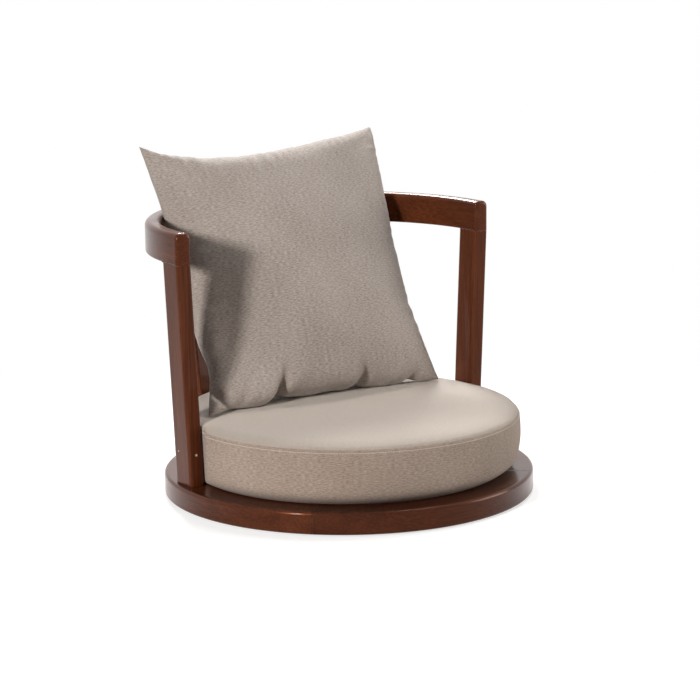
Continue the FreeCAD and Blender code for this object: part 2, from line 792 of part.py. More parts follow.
def pillow_shapes():
    inset, skin = size.pillow_seam.number, size.pillow_skin.number
    outer = {side: pillow_half(0, 0, side == "front") for side in ("front", "back")}
    inner = {side: pillow_half(inset, skin, side == "front") for side in ("front", "back")}
    shapes = {f"pillow_cover_{side}": outer[side].cut(inner[side]) for side in outer}
    shapes["pillow_filling"] = inner["front"].fuse(inner["back"]).removeSplitter()
    return shapes


def pillow_place(cover):
    """The pillow tips back, and slides down and back until it rests on the cushion's crown and on the rail."""
    tilt = Rotation(Vector(1, 0, 0), -size.pillow_tilt.number)
    rails = Part.makeCompound([parts[f"rail_arm_{side}"].Shape for side in SIDES])
    seat = parts["seat_cover_top"].Shape
    gap = size.pillow_gap.number
    slope = math.tan(math.radians(size.pillow_tilt.number))
    foot = seat_top.number + PILLOW_START
    back = size.rail_centre.number + rail_inner.number / 2 - slope * (rail_top.number - foot)
    for _ in range(PILLOW_SETTLING):
        cover.Placement = Placement(Vector(size.pillow_offset.number, back, foot), tilt)
        foot -= cover.distToShape(seat)[0] - gap
        back += cover.distToShape(rails)[0] - gap
    placement = cover.Placement
    cover.Placement = Placement()
    return placement


def pillow():
    document.recompute()
    shapes = pillow_shapes()
    placement = pillow_place(shapes["pillow_cover_back"])
    for name, shape in shapes.items():
        parts[name] = document.addObject("Part::Feature", name)
        parts[name].Shape = shape
        parts[name].Placement = placement


for name, quarter in QUARTERS.items():
    rim_segment(name, quarter)
rim_dowels()
base_panel()
batten("batten_long", "XZ_Plane", notch_above=True)
batten("batten_cross", "YZ_Plane", notch_above=False)
base_fasteners()
for name, side in SIDES.items():
    front_post(name, side)
    rail_arm(name, side)
post_fasteners()
for name, turn in SLATS.items():
    back_slat(name, turn)
slat_fasteners()
rail_back()
rail_dowels()
seat_cushion()
seat_zip()
pillow()

document.recompute()
for item in document.Objects:
    if "Invalid" in item.State or "Error" in item.State:
        raise RuntimeError(f"{item.Name} failed: {item.State}")
os.makedirs("parts", exist_ok=True)
for name, item in parts.items():
    item.Label = name
    if item.Shape.isNull() or not item.Shape.isValid():
        raise RuntimeError(f"{name} has no valid shape")
    item.Shape.exportStep(f"parts/{name}.step")
    print(name, len(item.Shape.Solids), "solids", round(item.Shape.Volume / 1000, 1), "cm3")
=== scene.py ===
# %% [markdown]
# # Floor chair
# A low chair without legs. A round base of lacquered hardwood lies on the floor, two flat posts rise from it,
# and a bent rail runs from post to post round the sitter's back. A round box cushion lies on the base, and a
# square pillow leans on the rail.
#
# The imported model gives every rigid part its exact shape, so this lesson keeps those parts and only gives
# them a finish. The soft parts are built again here, because cloth needs folds, seams and stitches.

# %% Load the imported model
import math

import bmesh
import bpy
import numpy as np
from mathutils import Matrix, Vector, noise


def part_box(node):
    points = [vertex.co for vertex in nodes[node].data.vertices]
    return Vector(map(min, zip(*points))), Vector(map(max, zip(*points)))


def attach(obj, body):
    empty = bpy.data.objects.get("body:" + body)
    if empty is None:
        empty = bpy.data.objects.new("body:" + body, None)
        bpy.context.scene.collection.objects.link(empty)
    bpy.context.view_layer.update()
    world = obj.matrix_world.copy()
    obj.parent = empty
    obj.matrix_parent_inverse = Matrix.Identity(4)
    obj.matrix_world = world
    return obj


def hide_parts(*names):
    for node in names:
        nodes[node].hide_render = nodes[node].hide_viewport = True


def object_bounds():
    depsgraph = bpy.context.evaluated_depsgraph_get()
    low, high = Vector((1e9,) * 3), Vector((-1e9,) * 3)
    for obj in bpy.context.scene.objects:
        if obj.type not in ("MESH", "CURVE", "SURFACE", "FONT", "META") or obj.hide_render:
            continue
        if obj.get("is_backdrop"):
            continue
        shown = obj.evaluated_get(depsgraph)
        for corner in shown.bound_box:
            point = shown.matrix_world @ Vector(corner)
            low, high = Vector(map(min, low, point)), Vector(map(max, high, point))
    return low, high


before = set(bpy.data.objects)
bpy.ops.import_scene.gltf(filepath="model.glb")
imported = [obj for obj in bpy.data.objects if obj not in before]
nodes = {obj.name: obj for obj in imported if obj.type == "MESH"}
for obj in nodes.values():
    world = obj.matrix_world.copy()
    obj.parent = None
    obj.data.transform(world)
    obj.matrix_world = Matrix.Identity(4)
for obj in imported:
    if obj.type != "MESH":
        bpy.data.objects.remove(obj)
cad_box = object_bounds()
MM = 0.001


def add_object(name, data):
    made = bpy.data.objects.new(name, data)
    bpy.context.scene.collection.objects.link(made)
    return made


# %% [markdown]
# ## The camera
# The photographer stood to the left of the front, a little above the chair, with a long lens. A camera
# looks along its own -Z with +Y up, so three unit vectors, right, up and backwards, make its matrix.
# Building them from three angles is easier to check than typing in a rotation.

# %% Camera
CAMERA_PLACE = (-2.0428, -3.0293, 0.9613)
CAMERA_TURN = math.radians(34.05)
CAMERA_PITCH = math.radians(11.47)
CAMERA_ROLL = math.radians(-0.62)
LENS = 122.71
FILM_WIDTH = 36
forward = Vector((math.sin(CAMERA_TURN) * math.cos(CAMERA_PITCH),
                  math.cos(CAMERA_TURN) * math.cos(CAMERA_PITCH), -math.sin(CAMERA_PITCH)))
level = Vector((math.cos(CAMERA_TURN), -math.sin(CAMERA_TURN), 0))
upright = level.cross(forward)
right = math.cos(CAMERA_ROLL) * level + math.sin(CAMERA_ROLL) * upright
up = -math.sin(CAMERA_ROLL) * level + math.cos(CAMERA_ROLL) * upright

camera_data = bpy.data.cameras.new("camera")
camera_data.lens = LENS
camera_data.sensor_width = FILM_WIDTH
camera_data.clip_end = 60
camera = add_object("camera", camera_data)
turned = Matrix((right, up, -forward)).transposed().to_4x4()
camera.matrix_world = Matrix.Translation(CAMERA_PLACE) @ turned
bpy.context.scene.camera = camera
print("camera looks along", tuple(round(c, 3) for c in forward))

# %% [markdown]
# ## Small helpers for shader trees
# A node tree is easier to read in code when one line makes one node. `node` adds a node, sets its options
# and then its inputs. An input may be a plain value or another node's output. `calc` is a Math node.

# %% Helpers for node trees
def cleared(owner):
    """The empty node tree of a material or a world."""
    owner.use_nodes = True
    owner.node_tree.nodes.clear()
    return owner.node_tree


def feed(tree, socket, value):
    if isinstance(value, bpy.types.NodeSocket):
        tree.links.new(value, socket)
    else:
        socket.default_value = value


def node(tree, kind, inputs=(), **options):
    made = tree.nodes.new("ShaderNode" + kind)
    for name, value in options.items():
        setattr(made, name, value)
    for name, value in dict(inputs).items():
        feed(tree, made.inputs[name], value)
    return made


def calc(tree, operation, first, second=0.0, third=0.0):
    made = tree.nodes.new("ShaderNodeMath")
    made.operation = operation
    for socket, value in zip(made.inputs, (first, second, third)):
        feed(tree, socket, value)
    return made.outputs[0]


def times(tree, first, second):
    return calc(tree, "MULTIPLY", first, second)


def vector_calc(tree, operation, first, second=(0, 0, 0)):
    made = tree.nodes.new("ShaderNodeVectorMath")
    made.operation = operation
    for socket, value in zip(made.inputs, (first, second)):
        feed(tree, socket, value)
    return made.outputs[0]


def blend_colours(tree, share, first, second):
    made = node(tree, "Mix", data_type="RGBA")
    for socket, value in ((made.inputs[0], share), (made.inputs[6], first), (made.inputs[7], second)):
        feed(tree, socket, value)
    return made.outputs[2]


def spread(tree, value, low, high, out_low=0.0, out_high=1.0):
    """Stretches a value's range, and clips what lies outside it."""
    return node(tree, "MapRange", {"Value": value, "From Min": low, "From Max": high,
                                   "To Min": out_low, "To Max": out_high}).outputs[0]


def noise_at(tree, place, scale, detail, rough=0.5):
    return node(tree, "TexNoise", {"Vector": place, "Scale": scale, "Detail": detail,
                                   "Roughness": rough}).outputs[0]


def squeezed(tree, place, factors, detail, rough=0.5):
    """Noise whose pattern is multiplied by the factors along X, Y and Z."""
    return noise_at(tree, vector_calc(tree, "MULTIPLY", place, factors), 1.0, detail, rough)


# %% [markdown]
# ## Node groups
# An effect that several materials share is built once, as a group with named inputs and outputs. The socket
# types are "NodeSocketFloat", "NodeSocketColor" and "NodeSocketVector".

# %% Helper for node groups
SOCKETS = {"float": "NodeSocketFloat", "color": "NodeSocketColor", "vector": "NodeSocketVector"}


def new_group(name, inputs, outputs):
    """An empty group and its ends. inputs and outputs map a name to a type."""
    group = bpy.data.node_groups.new(name, "ShaderNodeTree")
    for sockets, way in ((inputs, "INPUT"), (outputs, "OUTPUT")):
        for label, kind in sockets.items():
            group.interface.new_socket(label, in_out=way, socket_type=SOCKETS[kind])
    entry = group.nodes.new("NodeGroupInput")
    leave = group.nodes.new("NodeGroupOutput")
    return group, entry.outputs, leave.inputs


def use_group(tree, group, inputs):
    made = tree.nodes.new("ShaderNodeGroup")
    made.node_tree = group
    for name, value in inputs.items():
        feed(tree, made.inputs[name], value)
    return made.outputs


# %% [markdown]
# ### Wood grain
# The frame is a reddish hardwood under dark lacquer. Sawn wood shows three things: broad bands where the saw
# crossed the year rings, fine streaks along the fibres, and short dark pores. All three are noise that is
# squeezed across the grain and stretched along it. The group takes a vector whose X axis already runs along
# the grain, so one group serves every piece.

# %% Group: wood grain
def grain_group():
    group, given, result = new_group(
        "wood_grain",
        {"Vector": "vector", "Dark": "color", "Light": "color", "Streaks": "float", "Pores": "float"},
        {"Color": "color", "Height": "float"})
    bands = node(group, "TexNoise", {"Vector": vector_calc(group, "MULTIPLY", given["Vector"], (3, 34, 34)),
                                     "Scale": 1.0, "Detail": 3.0, "Distortion": 0.6})
    streaks = squeezed(group, given["Vector"], (9, 420, 420), 4.0, 0.65)
    pores = squeezed(group, given["Vector"], (60, 1400, 1400), 1.0)
    band = spread(group, bands.outputs[0], 0.3, 0.7)
    streak = spread(group, streaks, 0.32, 0.68)
    pore = spread(group, pores, 0.62, 0.78)
    tone = calc(group, "ADD", times(group, streak, given["Streaks"]),
                times(group, band, calc(group, "SUBTRACT", 1.0, given["Streaks"])))
    colour = blend_colours(group, tone, given["Dark"], given["Light"])
    pored = blend_colours(group, times(group, pore, given["Pores"]), colour, given["Dark"])
    feed(group, result["Color"], pored)
    feed(group, result["Height"], calc(group, "SUBTRACT", times(group, streak, 0.4), pore))
    return group


wood_grain = grain_group()
print("group:", wood_grain.name)

# %% [markdown]
# ### Edge wear
# Lacquer rubs thin on edges first. A Bevel node bends the normal near an edge, so the angle between the bent
# and the true normal is large only there, and noise breaks the line up as handling does.

# %% Group: edge wear
def edge_group():
    group, given, result = new_group(
        "edge_wear", {"Vector": "vector", "Width": "float", "Amount": "float"}, {"Worn": "float"})
    rounded = node(group, "Bevel", {"Radius": given["Width"]}, samples=4)
    true = node(group, "NewGeometry")
    bend = node(group, "VectorMath", {0: rounded.outputs[0], 1: true.outputs["Normal"]},
                operation="DOT_PRODUCT")
    edge = spread(group, bend.outputs["Value"], 0.995, 0.86)
    patches = noise_at(group, given["Vector"], 55.0, 5.0, 0.7)
    worn = times(group, edge, spread(group, patches, 0.5, 0.66))
    feed(group, result["Worn"], times(group, worn, given["Amount"]))
    return group


edge_wear = edge_group()
print("group:", edge_wear.name)

# %% [markdown]
# ### Chips and dust specks
# A used lacquered frame carries small pale specks where it was knocked, and a few grains of dust. A Voronoi
# texture gives one random point per cell; a speck shows only where the cell's random colour is high, so most
# cells stay empty.

# %% Group: specks
def speck_group():
    group, given, result = new_group(
        "specks", {"Vector": "vector", "Spacing": "float", "Size": "float", "Rarity": "float"},
        {"Mask": "float"})
    scale = calc(group, "DIVIDE", 1.0, given["Spacing"])
    warp = node(group, "TexNoise", {"Vector": given["Vector"], "Scale": 400.0, "Detail": 2.0})
    swing = vector_calc(group, "SUBTRACT", warp.outputs[1], (0.5, 0.5, 0.5))
    swing = vector_calc(group, "MULTIPLY", swing, (0.003, 0.003, 0.003))
    bent = vector_calc(group, "ADD", given["Vector"], swing)
    cells = node(group, "TexVoronoi", {"Vector": bent, "Scale": scale})
    near = spread(group, calc(group, "SUBTRACT", given["Size"], cells.outputs["Distance"]), 0.0, 0.02)
    chance = node(group, "SeparateColor", {"Color": cells.outputs["Color"]})
    chosen = calc(group, "GREATER_THAN", chance.outputs[0], given["Rarity"])
    feed(group, result["Mask"], times(group, near, chosen))
    return group


specks = speck_group()
print("group:", specks.name)

# %% [markdown]
# ### Woven cloth
# A plain weave is two sets of yarns at right angles that pass over and under each other. Here U and V count
# metres along the cloth. The sine of each gives the round back of a yarn, and the parity of the two yarn
# numbers says which one is on top. A heathered yarn is spun from dark and light fibre, so each yarn gets its
# own noise along its length, and the cloth gets the short flecks that the photo shows.

# %% Group: woven cloth
def weave_group():
    group, given, result = new_group(
        "woven_cloth",
        {"Vector": "vector", "Pitch": "float", "Fleck": "float", "Dark": "color", "Mid": "color",
         "Light": "color", "Heather": "float"},
        {"Color": "color", "Height": "float", "Tone": "float"})
    place = node(group, "SeparateXYZ", {"Vector": given["Vector"]})
    turns = [calc(group, "DIVIDE", place.outputs[axis], given["Pitch"]) for axis in (0, 1)]
    number = [calc(group, "FLOOR", turn) for turn in turns]
    inside = [calc(group, "FRACT", turn) for turn in turns]
    back = [calc(group, "SINE", times(group, part, math.pi)) for part in inside]
    parity = calc(group, "MODULO", calc(group, "ADD", number[0], number[1]), 2.0)
    over = calc(group, "ABSOLUTE", parity)

    flecks = []
    for along, across in ((0, 1), (1, 0)):
        run = calc(group, "DIVIDE", place.outputs[along], given["Fleck"])
        offset = times(group, number[across], 7.31)
        point = node(group, "CombineXYZ", {"X": run, "Y": offset, "Z": float(along)})
        flecks.append(noise_at(group, point.outputs[0], 1.0, 2.0))
    yarn = node(group, "Mix", {0: over, 2: flecks[0], 3: flecks[1]}, data_type="FLOAT").outputs[0]
    slubs = squeezed(group, given["Vector"], (165, 600, 1), 2.0, 0.55)
    clouds = noise_at(group, given["Vector"], 9.0, 2.0)
    quiet = calc(group, "MULTIPLY_ADD", calc(group, "SUBTRACT", yarn, 0.5), 0.3, 0.5)
    fine = calc(group, "MULTIPLY_ADD", calc(group, "SUBTRACT", slubs, 0.5), 0.95, quiet)
    tone = calc(group, "MULTIPLY_ADD", calc(group, "SUBTRACT", clouds, 0.5), 0.25, fine)
    lighter = times(group, spread(group, tone, 0.5, 0.74), given["Heather"])
    darker = times(group, spread(group, tone, 0.5, 0.26), given["Heather"])
    colour = blend_colours(group, lighter, given["Mid"], given["Light"])
    colour = blend_colours(group, darker, colour, given["Dark"])
    crown = node(group, "Mix", {0: over, 2: back[1], 3: back[0]}, data_type="FLOAT").outputs[0]
    feed(group, result["Color"], colour)
    feed(group, result["Height"], calc(group, "MULTIPLY_ADD", slubs, 0.6, crown))
    feed(group, result["Tone"], tone)
    return group


woven_cloth = weave_group()
print("group:", woven_cloth.name)

# %% [markdown]
# ## Materials
# Each material has one Principled BSDF. Numbers that are the same all over the surface are typed into its
# own sockets, and only what changes over the surface is linked. A small part needs no more than one noise,
# which `speckled` turns into colour, roughness and relief.

# %% Helper for materials
def new_material(name, **fixed):
    """A material with its Principled BSDF. Coat_Weight=1 sets the socket Coat Weight."""
    material = bpy.data.materials.new(name)
    tree = cleared(material)
    shader = node(tree, "BsdfPrincipled", {label.replace("_", " "): value for label, value in fixed.items()})
    node(tree, "OutputMaterial", {"Surface": shader.outputs[0]})
    return material, tree, shader.inputs


def object_place(tree, turn=(0, 0, 0), shift=(0, 0, 0)):
    """Object coordinates, shifted and then turned so that the grain's direction becomes X."""
    place = node(tree, "TexCoord").outputs["Object"]
    return node(tree, "Mapping", {"Vector": place, "Location": shift, "Rotation": turn}).outputs[0]


def add_bump(tree, shader, height, strength, distance):
    bump = node(tree, "Bump", {"Height": height, "Strength": strength, "Distance": distance})
    feed(tree, shader["Normal"], bump.outputs[0])


def speckled(name, pattern, dark, light, rough=None, bump=None, stretch=(1, 1, 1), **fixed):
    """pattern is the noise's scale and detail, rough a range, and bump its strength and distance."""
    material, tree, shader = new_material(name, **fixed)
    place = vector_calc(tree, "MULTIPLY", object_place(tree), stretch)
    marks = noise_at(tree, place, *pattern)
    feed(tree, shader["Base Color"], blend_colours(tree, marks, dark, light))
    if rough:
        feed(tree, shader["Roughness"], spread(tree, marks, 0.3, 0.7, *rough))
    if bump:
        add_bump(tree, shader, marks, *bump)
    return material


# %% [markdown]
# ### Lacquered hardwood
# Two layers: stained wood underneath, and a clear glossy lacquer that gives the narrow highlights along the
# rounded edges. The Coat inputs of the Principled BSDF are that lacquer. Where it has rubbed through on an
# edge, the paler wood below shows, and the surface is rougher.

# %% Lacquered hardwood
WOOD_DARK = (0.034, 0.0075, 0.0030, 1)
WOOD_LIGHT = (0.128, 0.036, 0.0135, 1)
WOOD_BARE = (0.42, 0.20, 0.11, 1)
CHIP_COLOUR = (0.62, 0.5, 0.42, 1)
EDGE_ROUNDING = 3.5 * MM
QUARTER_TURN = math.pi / 2
# Painted shade: the rim's colours are darkened, the front and rear segments most because less light falls on
# them, the left and right segments less.
RIM_PAINTED_SHADE = 0.62
RIM_SIDE_PAINTED_SHADE = 1.35 * RIM_PAINTED_SHADE


# Multiplies a colour by a factor; below 1 this is painted shade.
def darken_for_painted_shade(colour, depth):
    return tuple(part * depth for part in colour[:3]) + (1,)


def lacquered(name, turn, shift, depth=1.0):
    """depth multiplies the wood's colours: painted shade that darkens the rim, its front and rear segments
    most.
    """
    material, tree, shader = new_material(
        name, IOR=1.33, Specular_Tint=(1.0, 0.32, 0.15, 1), Coat_Weight=0.12, Coat_Roughness=0.03)
    along = object_place(tree, turn, shift)
    grain = use_group(tree, wood_grain, {"Vector": along, "Dark": darken_for_painted_shade(WOOD_DARK, depth),
                                         "Light": darken_for_painted_shade(WOOD_LIGHT, depth), "Streaks": 0.55, "Pores": 0.55})
    edge = use_group(tree, edge_wear, {"Vector": along, "Width": 0.003, "Amount": 0.5})
    chips = use_group(tree, specks, {"Vector": along, "Spacing": 0.035, "Size": 0.06, "Rarity": 0.86})
    shown = blend_colours(tree, edge["Worn"], grain["Color"], WOOD_BARE)
    feed(tree, shader["Base Color"], blend_colours(tree, chips["Mask"], shown, CHIP_COLOUR))
    rough = spread(tree, noise_at(tree, along, 14.0, 4.0), 0.3, 0.7, 0.14, 0.27)
    feed(tree, shader["Roughness"], calc(tree, "MULTIPLY_ADD", edge["Worn"], 0.3, rough))
    softened = node(tree, "Bevel", {"Radius": EDGE_ROUNDING}, samples=6).outputs[0]
    bump = node(tree, "Bump", {"Height": grain["Height"], "Strength": 0.12, "Distance": 0.0003,
                               "Normal": softened})
    feed(tree, shader["Normal"], bump.outputs[0])
    feed(tree, shader["Coat Normal"], softened)
    return material


wood_along_x = lacquered("lacquered_wood_across", (0, 0, 0), (0.31, 0.07, 0.02))
wood_along_y = lacquered("lacquered_wood_deep", (0, 0, -QUARTER_TURN), (0.11, 0.27, 0.05))
wood_upright = lacquered("lacquered_wood_upright", (0, QUARTER_TURN, 0), (0.05, 0.13, 0.23))
# Darker copies of the lacquered wood for the rim: painted shade, deepest on the front and rear segments.
rim_across_painted_shade = lacquered("lacquered_rim_across_painted_shade", (0, 0, 0), (0.17, 0.21, 0.04), RIM_PAINTED_SHADE)
rim_deep_painted_shade = lacquered("lacquered_rim_deep_painted_shade", (0, 0, -QUARTER_TURN), (0.23, 0.09, 0.12), RIM_SIDE_PAINTED_SHADE)
print("lacquered wood: 3 grain directions, and 2 for the rim")

# %% [markdown]
# ### Hidden timber and fittings
# The panel under the cushion is birch plywood, the battens and dowels are plain beech, the bolts are zinc
# plated steel, and the floor pads are pressed felt. They show only from below or with the cushion lifted.

# %% Plywood, beech, steel, felt
def plain_timber(name, dark, light, turn=(0, 0, 0)):
    material, tree, shader = new_material(name, Coat_Weight=0.0, IOR=1.45)
    along = object_place(tree, turn)
    grain = use_group(tree, wood_grain, {"Vector": along, "Dark": dark, "Light": light, "Streaks": 0.4,
                                         "Pores": 0.3})
    feed(tree, shader["Base Color"], grain["Color"])
    feed(tree, shader["Roughness"], spread(tree, grain["Height"], -1.0, 0.4, 0.62, 0.5))
    add_bump(tree, shader, grain["Height"], 0.2, 0.0003)
    return material


plywood = plain_timber("plywood", (0.42, 0.27, 0.15, 1), (0.62, 0.44, 0.28, 1))
beech = plain_timber("beech", (0.40, 0.22, 0.12, 1), (0.60, 0.38, 0.24, 1), (0, QUARTER_TURN, 0))

steel = speckled("zinc_steel", (1.0, 3.0), (0.45, 0.46, 0.47, 1), (0.68, 0.69, 0.7, 1),
                 (0.25, 0.42), (0.15, 0.0002), (300, 300, 2500), Metallic=1.0)
felt = speckled("felt", (900.0, 6.0, 0.8), (0.03, 0.028, 0.026, 1),
                (0.16, 0.15, 0.14, 1), (0.85, 1.0), (0.8, 0.001), Sheen_Weight=0.4, Sheen_Roughness=0.6)
print("plywood, beech, steel, felt")

# %% [markdown]
# ## Dress the rigid parts
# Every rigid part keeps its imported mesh. Only its material changes, and the grain has to run the way a
# joiner would saw the piece: up the posts and slats, and along each segment of the rim and the rail.

# %% Materials on the rigid parts
FINISHES = {
    rim_across_painted_shade: ["base_rim_front", "base_rim_rear"],
    rim_deep_painted_shade: ["base_rim_left", "base_rim_right"],
    wood_along_x: ["rail_back"],
    wood_along_y: ["rail_arm_left", "rail_arm_right"],
    wood_upright: ["front_post_left", "front_post_right", "back_slat_left", "back_slat_centre",
                   "back_slat_right"],
    plywood: ["base_panel"],
    beech: ["batten_long", "batten_cross", "rim_dowels", "post_top_dowels", "rail_dowels", "slat_dowels"],
    steel: ["panel_screws", "batten_screws", "post_bolts", "post_washers", "post_inserts", "slat_screws"],
    felt: ["floor_pads"],
}
for finish, names in FINISHES.items():
    for name in names:
        slots = nodes[name].data.materials
        slots.clear()
        slots.append(finish)
print("dressed:", sum(len(names) for names in FINISHES.values()), "rigid parts")

# %% [markdown]
# ## A sheet of quads
# The cushion's panels are sheets of quads. `sheet_mesh` takes a table of points, row by row, and a table of
# U and V in metres, so that the weave keeps its real size however the cloth is bent.

# %% Helpers: a mesh, and a sheet of quads
def new_mesh(name, points, faces, cloth_uv=None):
    """A smooth mesh. cloth_uv has U and V for each corner of each face."""
    mesh = bpy.data.meshes.new(name)
    mesh.from_pydata([tuple(point) for point in points], [], faces)
    if cloth_uv is not None:
        layer = mesh.uv_layers.new(name="cloth")
        layer.data.foreach_set("uv", np.array(cloth_uv, np.float32).ravel())
    mesh.polygons.foreach_set("use_smooth", [True] * len(faces))
    mesh.update()
    return mesh


def sheet_mesh(name, points, cloth_uv):
    """points is rows x columns x 3, cloth_uv rows x (columns + 1) x 2. The last column joins the first."""
    rows, columns = points.shape[:2]
    faces = []
    corners = []
    for row in range(rows - 1):
        for column in range(columns):
            after = (column + 1) % columns
            quad = [(row, column, column), (row, after, column + 1),
                    (row + 1, after, column + 1), (row + 1, column, column)]
            faces.append([r * columns + c for r, c, _ in quad])
            corners.extend(cloth_uv[r, u] for r, _, u in quad)
    return new_mesh(name, points.reshape(-1, 3), faces, corners)


def add_piece(name, mesh, material, body):
    piece = add_object(name, mesh)
    mesh.materials.append(material)
    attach(piece, body)
    return piece


# %% [markdown]
# ### Fabrics
# The pillow and the cushion's side are one heathered linen weave in two shades. The cushion's top is a
# smoother, paler cloth with a soft sheen, which shows as a broad bright patch in the photo.

# %% Fabric materials
def fabric(name, pitch, fleck, dark, mid, light, heather, bump_distance, sheen, rough, gloss=0.5):
    material, tree, shader = new_material(name, Sheen_Weight=sheen, Sheen_Roughness=0.45,
                                          Sheen_Tint=(1, 0.96, 0.92, 1), Specular_IOR_Level=gloss)
    cloth_uv = node(tree, "UVMap", uv_map="cloth").outputs[0]
    weave = use_group(tree, woven_cloth, {"Vector": cloth_uv, "Pitch": pitch, "Fleck": fleck, "Dark": dark,
                                          "Mid": mid, "Light": light, "Heather": heather})
    feed(tree, shader["Base Color"], weave["Color"])
    feed(tree, shader["Roughness"], spread(tree, weave["Tone"], 0.2, 0.8, rough + 0.08, rough - 0.06))
    add_bump(tree, shader, weave["Height"], 0.5, bump_distance)
    return material


linen = fabric("heathered_linen", 0.0012, 0.006, (0.19, 0.156, 0.136, 1), (0.365, 0.308, 0.274, 1),
               (0.52, 0.467, 0.422, 1), 0.85, 0.0004, 0.45, 0.86)
band_cloth = fabric("woven_band", 0.0012, 0.008, (0.19, 0.135, 0.105, 1), (0.335, 0.255, 0.205, 1),
                    (0.48, 0.40, 0.34, 1), 0.75, 0.0004, 0.2, 0.86)
seat_cloth = fabric("smooth_seat_cloth", 0.0007, 0.004, (0.303, 0.255, 0.216, 1), (0.411, 0.348, 0.299, 1),
                    (0.492, 0.430, 0.380, 1), 0.5, 0.0002, 0.3, 0.65, 0.25)
thread = speckled("sewing_thread", (1500.0, 2.0), (0.50, 0.45, 0.39, 1),
                  (0.72, 0.66, 0.59, 1), Roughness=0.7, Sheen_Weight=0.3)
print("fabrics: pillow linen, band cloth, seat cloth, thread")

# %% [markdown]
# ## The seat cushion
# The real one is a round foam block in a sewn cover: a top panel that wraps over the shoulder, a band and an
# underside. All three are turned shapes, so a profile of radius and height is swept round the axis. Three
# things make it look sewn and used. The seam draws in and puckers a little, the whole cushion lies a few
# millimetres to the right, and the two posts press a flat into its sides.

# %% Seat cushion: how a turned point becomes a cushion point
band_low, band_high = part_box("seat_cover_band")
post_low, post_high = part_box("front_post_right")
SWELL_RADIUS = band_high.x
TOP_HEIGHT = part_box("seat_cover_top")[1].z
HEM_HEIGHT = band_low.z
FOOT_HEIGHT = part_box("seat_cover_base")[0].z
SEAM_HEIGHT = 123.5 * MM
SEGMENTS = 288
CUSHION_SHIFT = 2.5 * MM
# A post's inner and outer face where it stands on the base
POST_INSIDE = 251 * MM
POST_OUTSIDE = 0.276
POST_CLEARANCE = 2.2 * MM
POST_LEAN = (post_high.x - POST_OUTSIDE) / (post_high.z - post_low.z)
PINCH_REACH = 26 * MM
PINCH_SOFTNESS = 1.2 * MM
ZIP_TOP = 57 * MM
ZIP_FADE = 30 * MM
SEAM_GATHER = 5 * MM
HEM_GATHER = 7 * MM


def soft_lower(value, limit, softness):
    """The lower of two values, with a rounded corner where they cross."""
    return limit - softness * np.logaddexp(0, (limit - value) / softness)


def cushion_points(angles, radius, height):
    """Points round the cushion at one radius and height: rippled, shifted, and pressed flat by the posts.

    Up to ZIP_TOP, where the slider runs, the band stays a true circle. The ripple is full ZIP_FADE higher.
    """
    outer = min(radius / SWELL_RADIUS, 1) ** 4 * min(max((height - ZIP_TOP) / ZIP_FADE, 0), 1)
    near_seam = (math.exp(-abs(height - SEAM_HEIGHT) / SEAM_GATHER)
                 + math.exp(-abs(height - HEM_HEIGHT) / HEM_GATHER))
    slow = 0.5 * np.sin(5 * angles + 0.7) + 0.3 * np.sin(9 * angles + 2.1) + 0.2 * np.sin(17 * angles)
    pucker = np.sin(61 * angles + 2 * np.sin(7 * angles)) * (0.6 + 0.4 * np.sin(13 * angles))
    reach = radius + (0.7 * slow + 0.4 * pucker * near_seam) * MM * outer
    x = reach * np.cos(angles) + CUSHION_SHIFT * outer
    y = reach * np.sin(angles)
    off = np.maximum(np.abs(y - (post_low.y + post_high.y) / 2) - (post_high.y - post_low.y) / 2, 0)
    inner_face = POST_INSIDE + POST_LEAN * (height - post_low.z) - POST_CLEARANCE
    limit = inner_face + 0.5 * off ** 2 / PINCH_REACH
    x = np.sign(x) * np.clip(soft_lower(np.abs(x), limit, PINCH_SOFTNESS), 0, None)
    return np.stack([x, y, np.full(len(angles), height)], -1)


# %% Seat cushion: sweep a profile
def spline(points, count):
    """Evenly spaced points along a smooth curve through the given ones, and the distance run to each."""
    given = np.array(points, float)
    steps = np.linspace(0, len(given) - 1, 400)
    padded = np.vstack([2 * given[0] - given[1], given, 2 * given[-1] - given[-2]])
    whole = np.minimum(steps.astype(int), len(given) - 2)
    part = (steps - whole)[:, None]
    a, b, c, d = (padded[whole + shift] for shift in range(4))
    curve = 0.5 * (2 * b + (c - a) * part + (2 * a - 5 * b + 4 * c - d) * part ** 2
                   + (3 * b - 3 * c + d - a) * part ** 3)
    run = np.concatenate([[0], np.cumsum(np.linalg.norm(np.diff(curve, axis=0), axis=1))])
    wanted = np.linspace(0, run[-1], count)
    return np.stack([np.interp(wanted, run, curve[:, axis]) for axis in range(given.shape[1])], -1), wanted


def turned_panel(name, profile, rows, flat, cloth):
    """Sweeps a profile round the axis. A flat panel gets U and V like cut cloth, the band unrolled ones."""
    line, run = spline(profile[::-1], rows)
    angles = np.linspace(0, 2 * math.pi, SEGMENTS, endpoint=False)
    points = np.stack([cushion_points(angles, radius, height) for radius, height in line])
    wrap = np.linspace(0, 2 * math.pi, SEGMENTS + 1)
    if flat:
        cloth_uv = line[:, 0, None, None] * np.stack([np.cos(wrap), np.sin(wrap)], -1)
    else:
        cloth_uv = np.stack(np.broadcast_arrays(wrap * SWELL_RADIUS, run[:, None]), -1)
    return add_piece(name, sheet_mesh(name, points, cloth_uv), cloth, "seat_cushion")


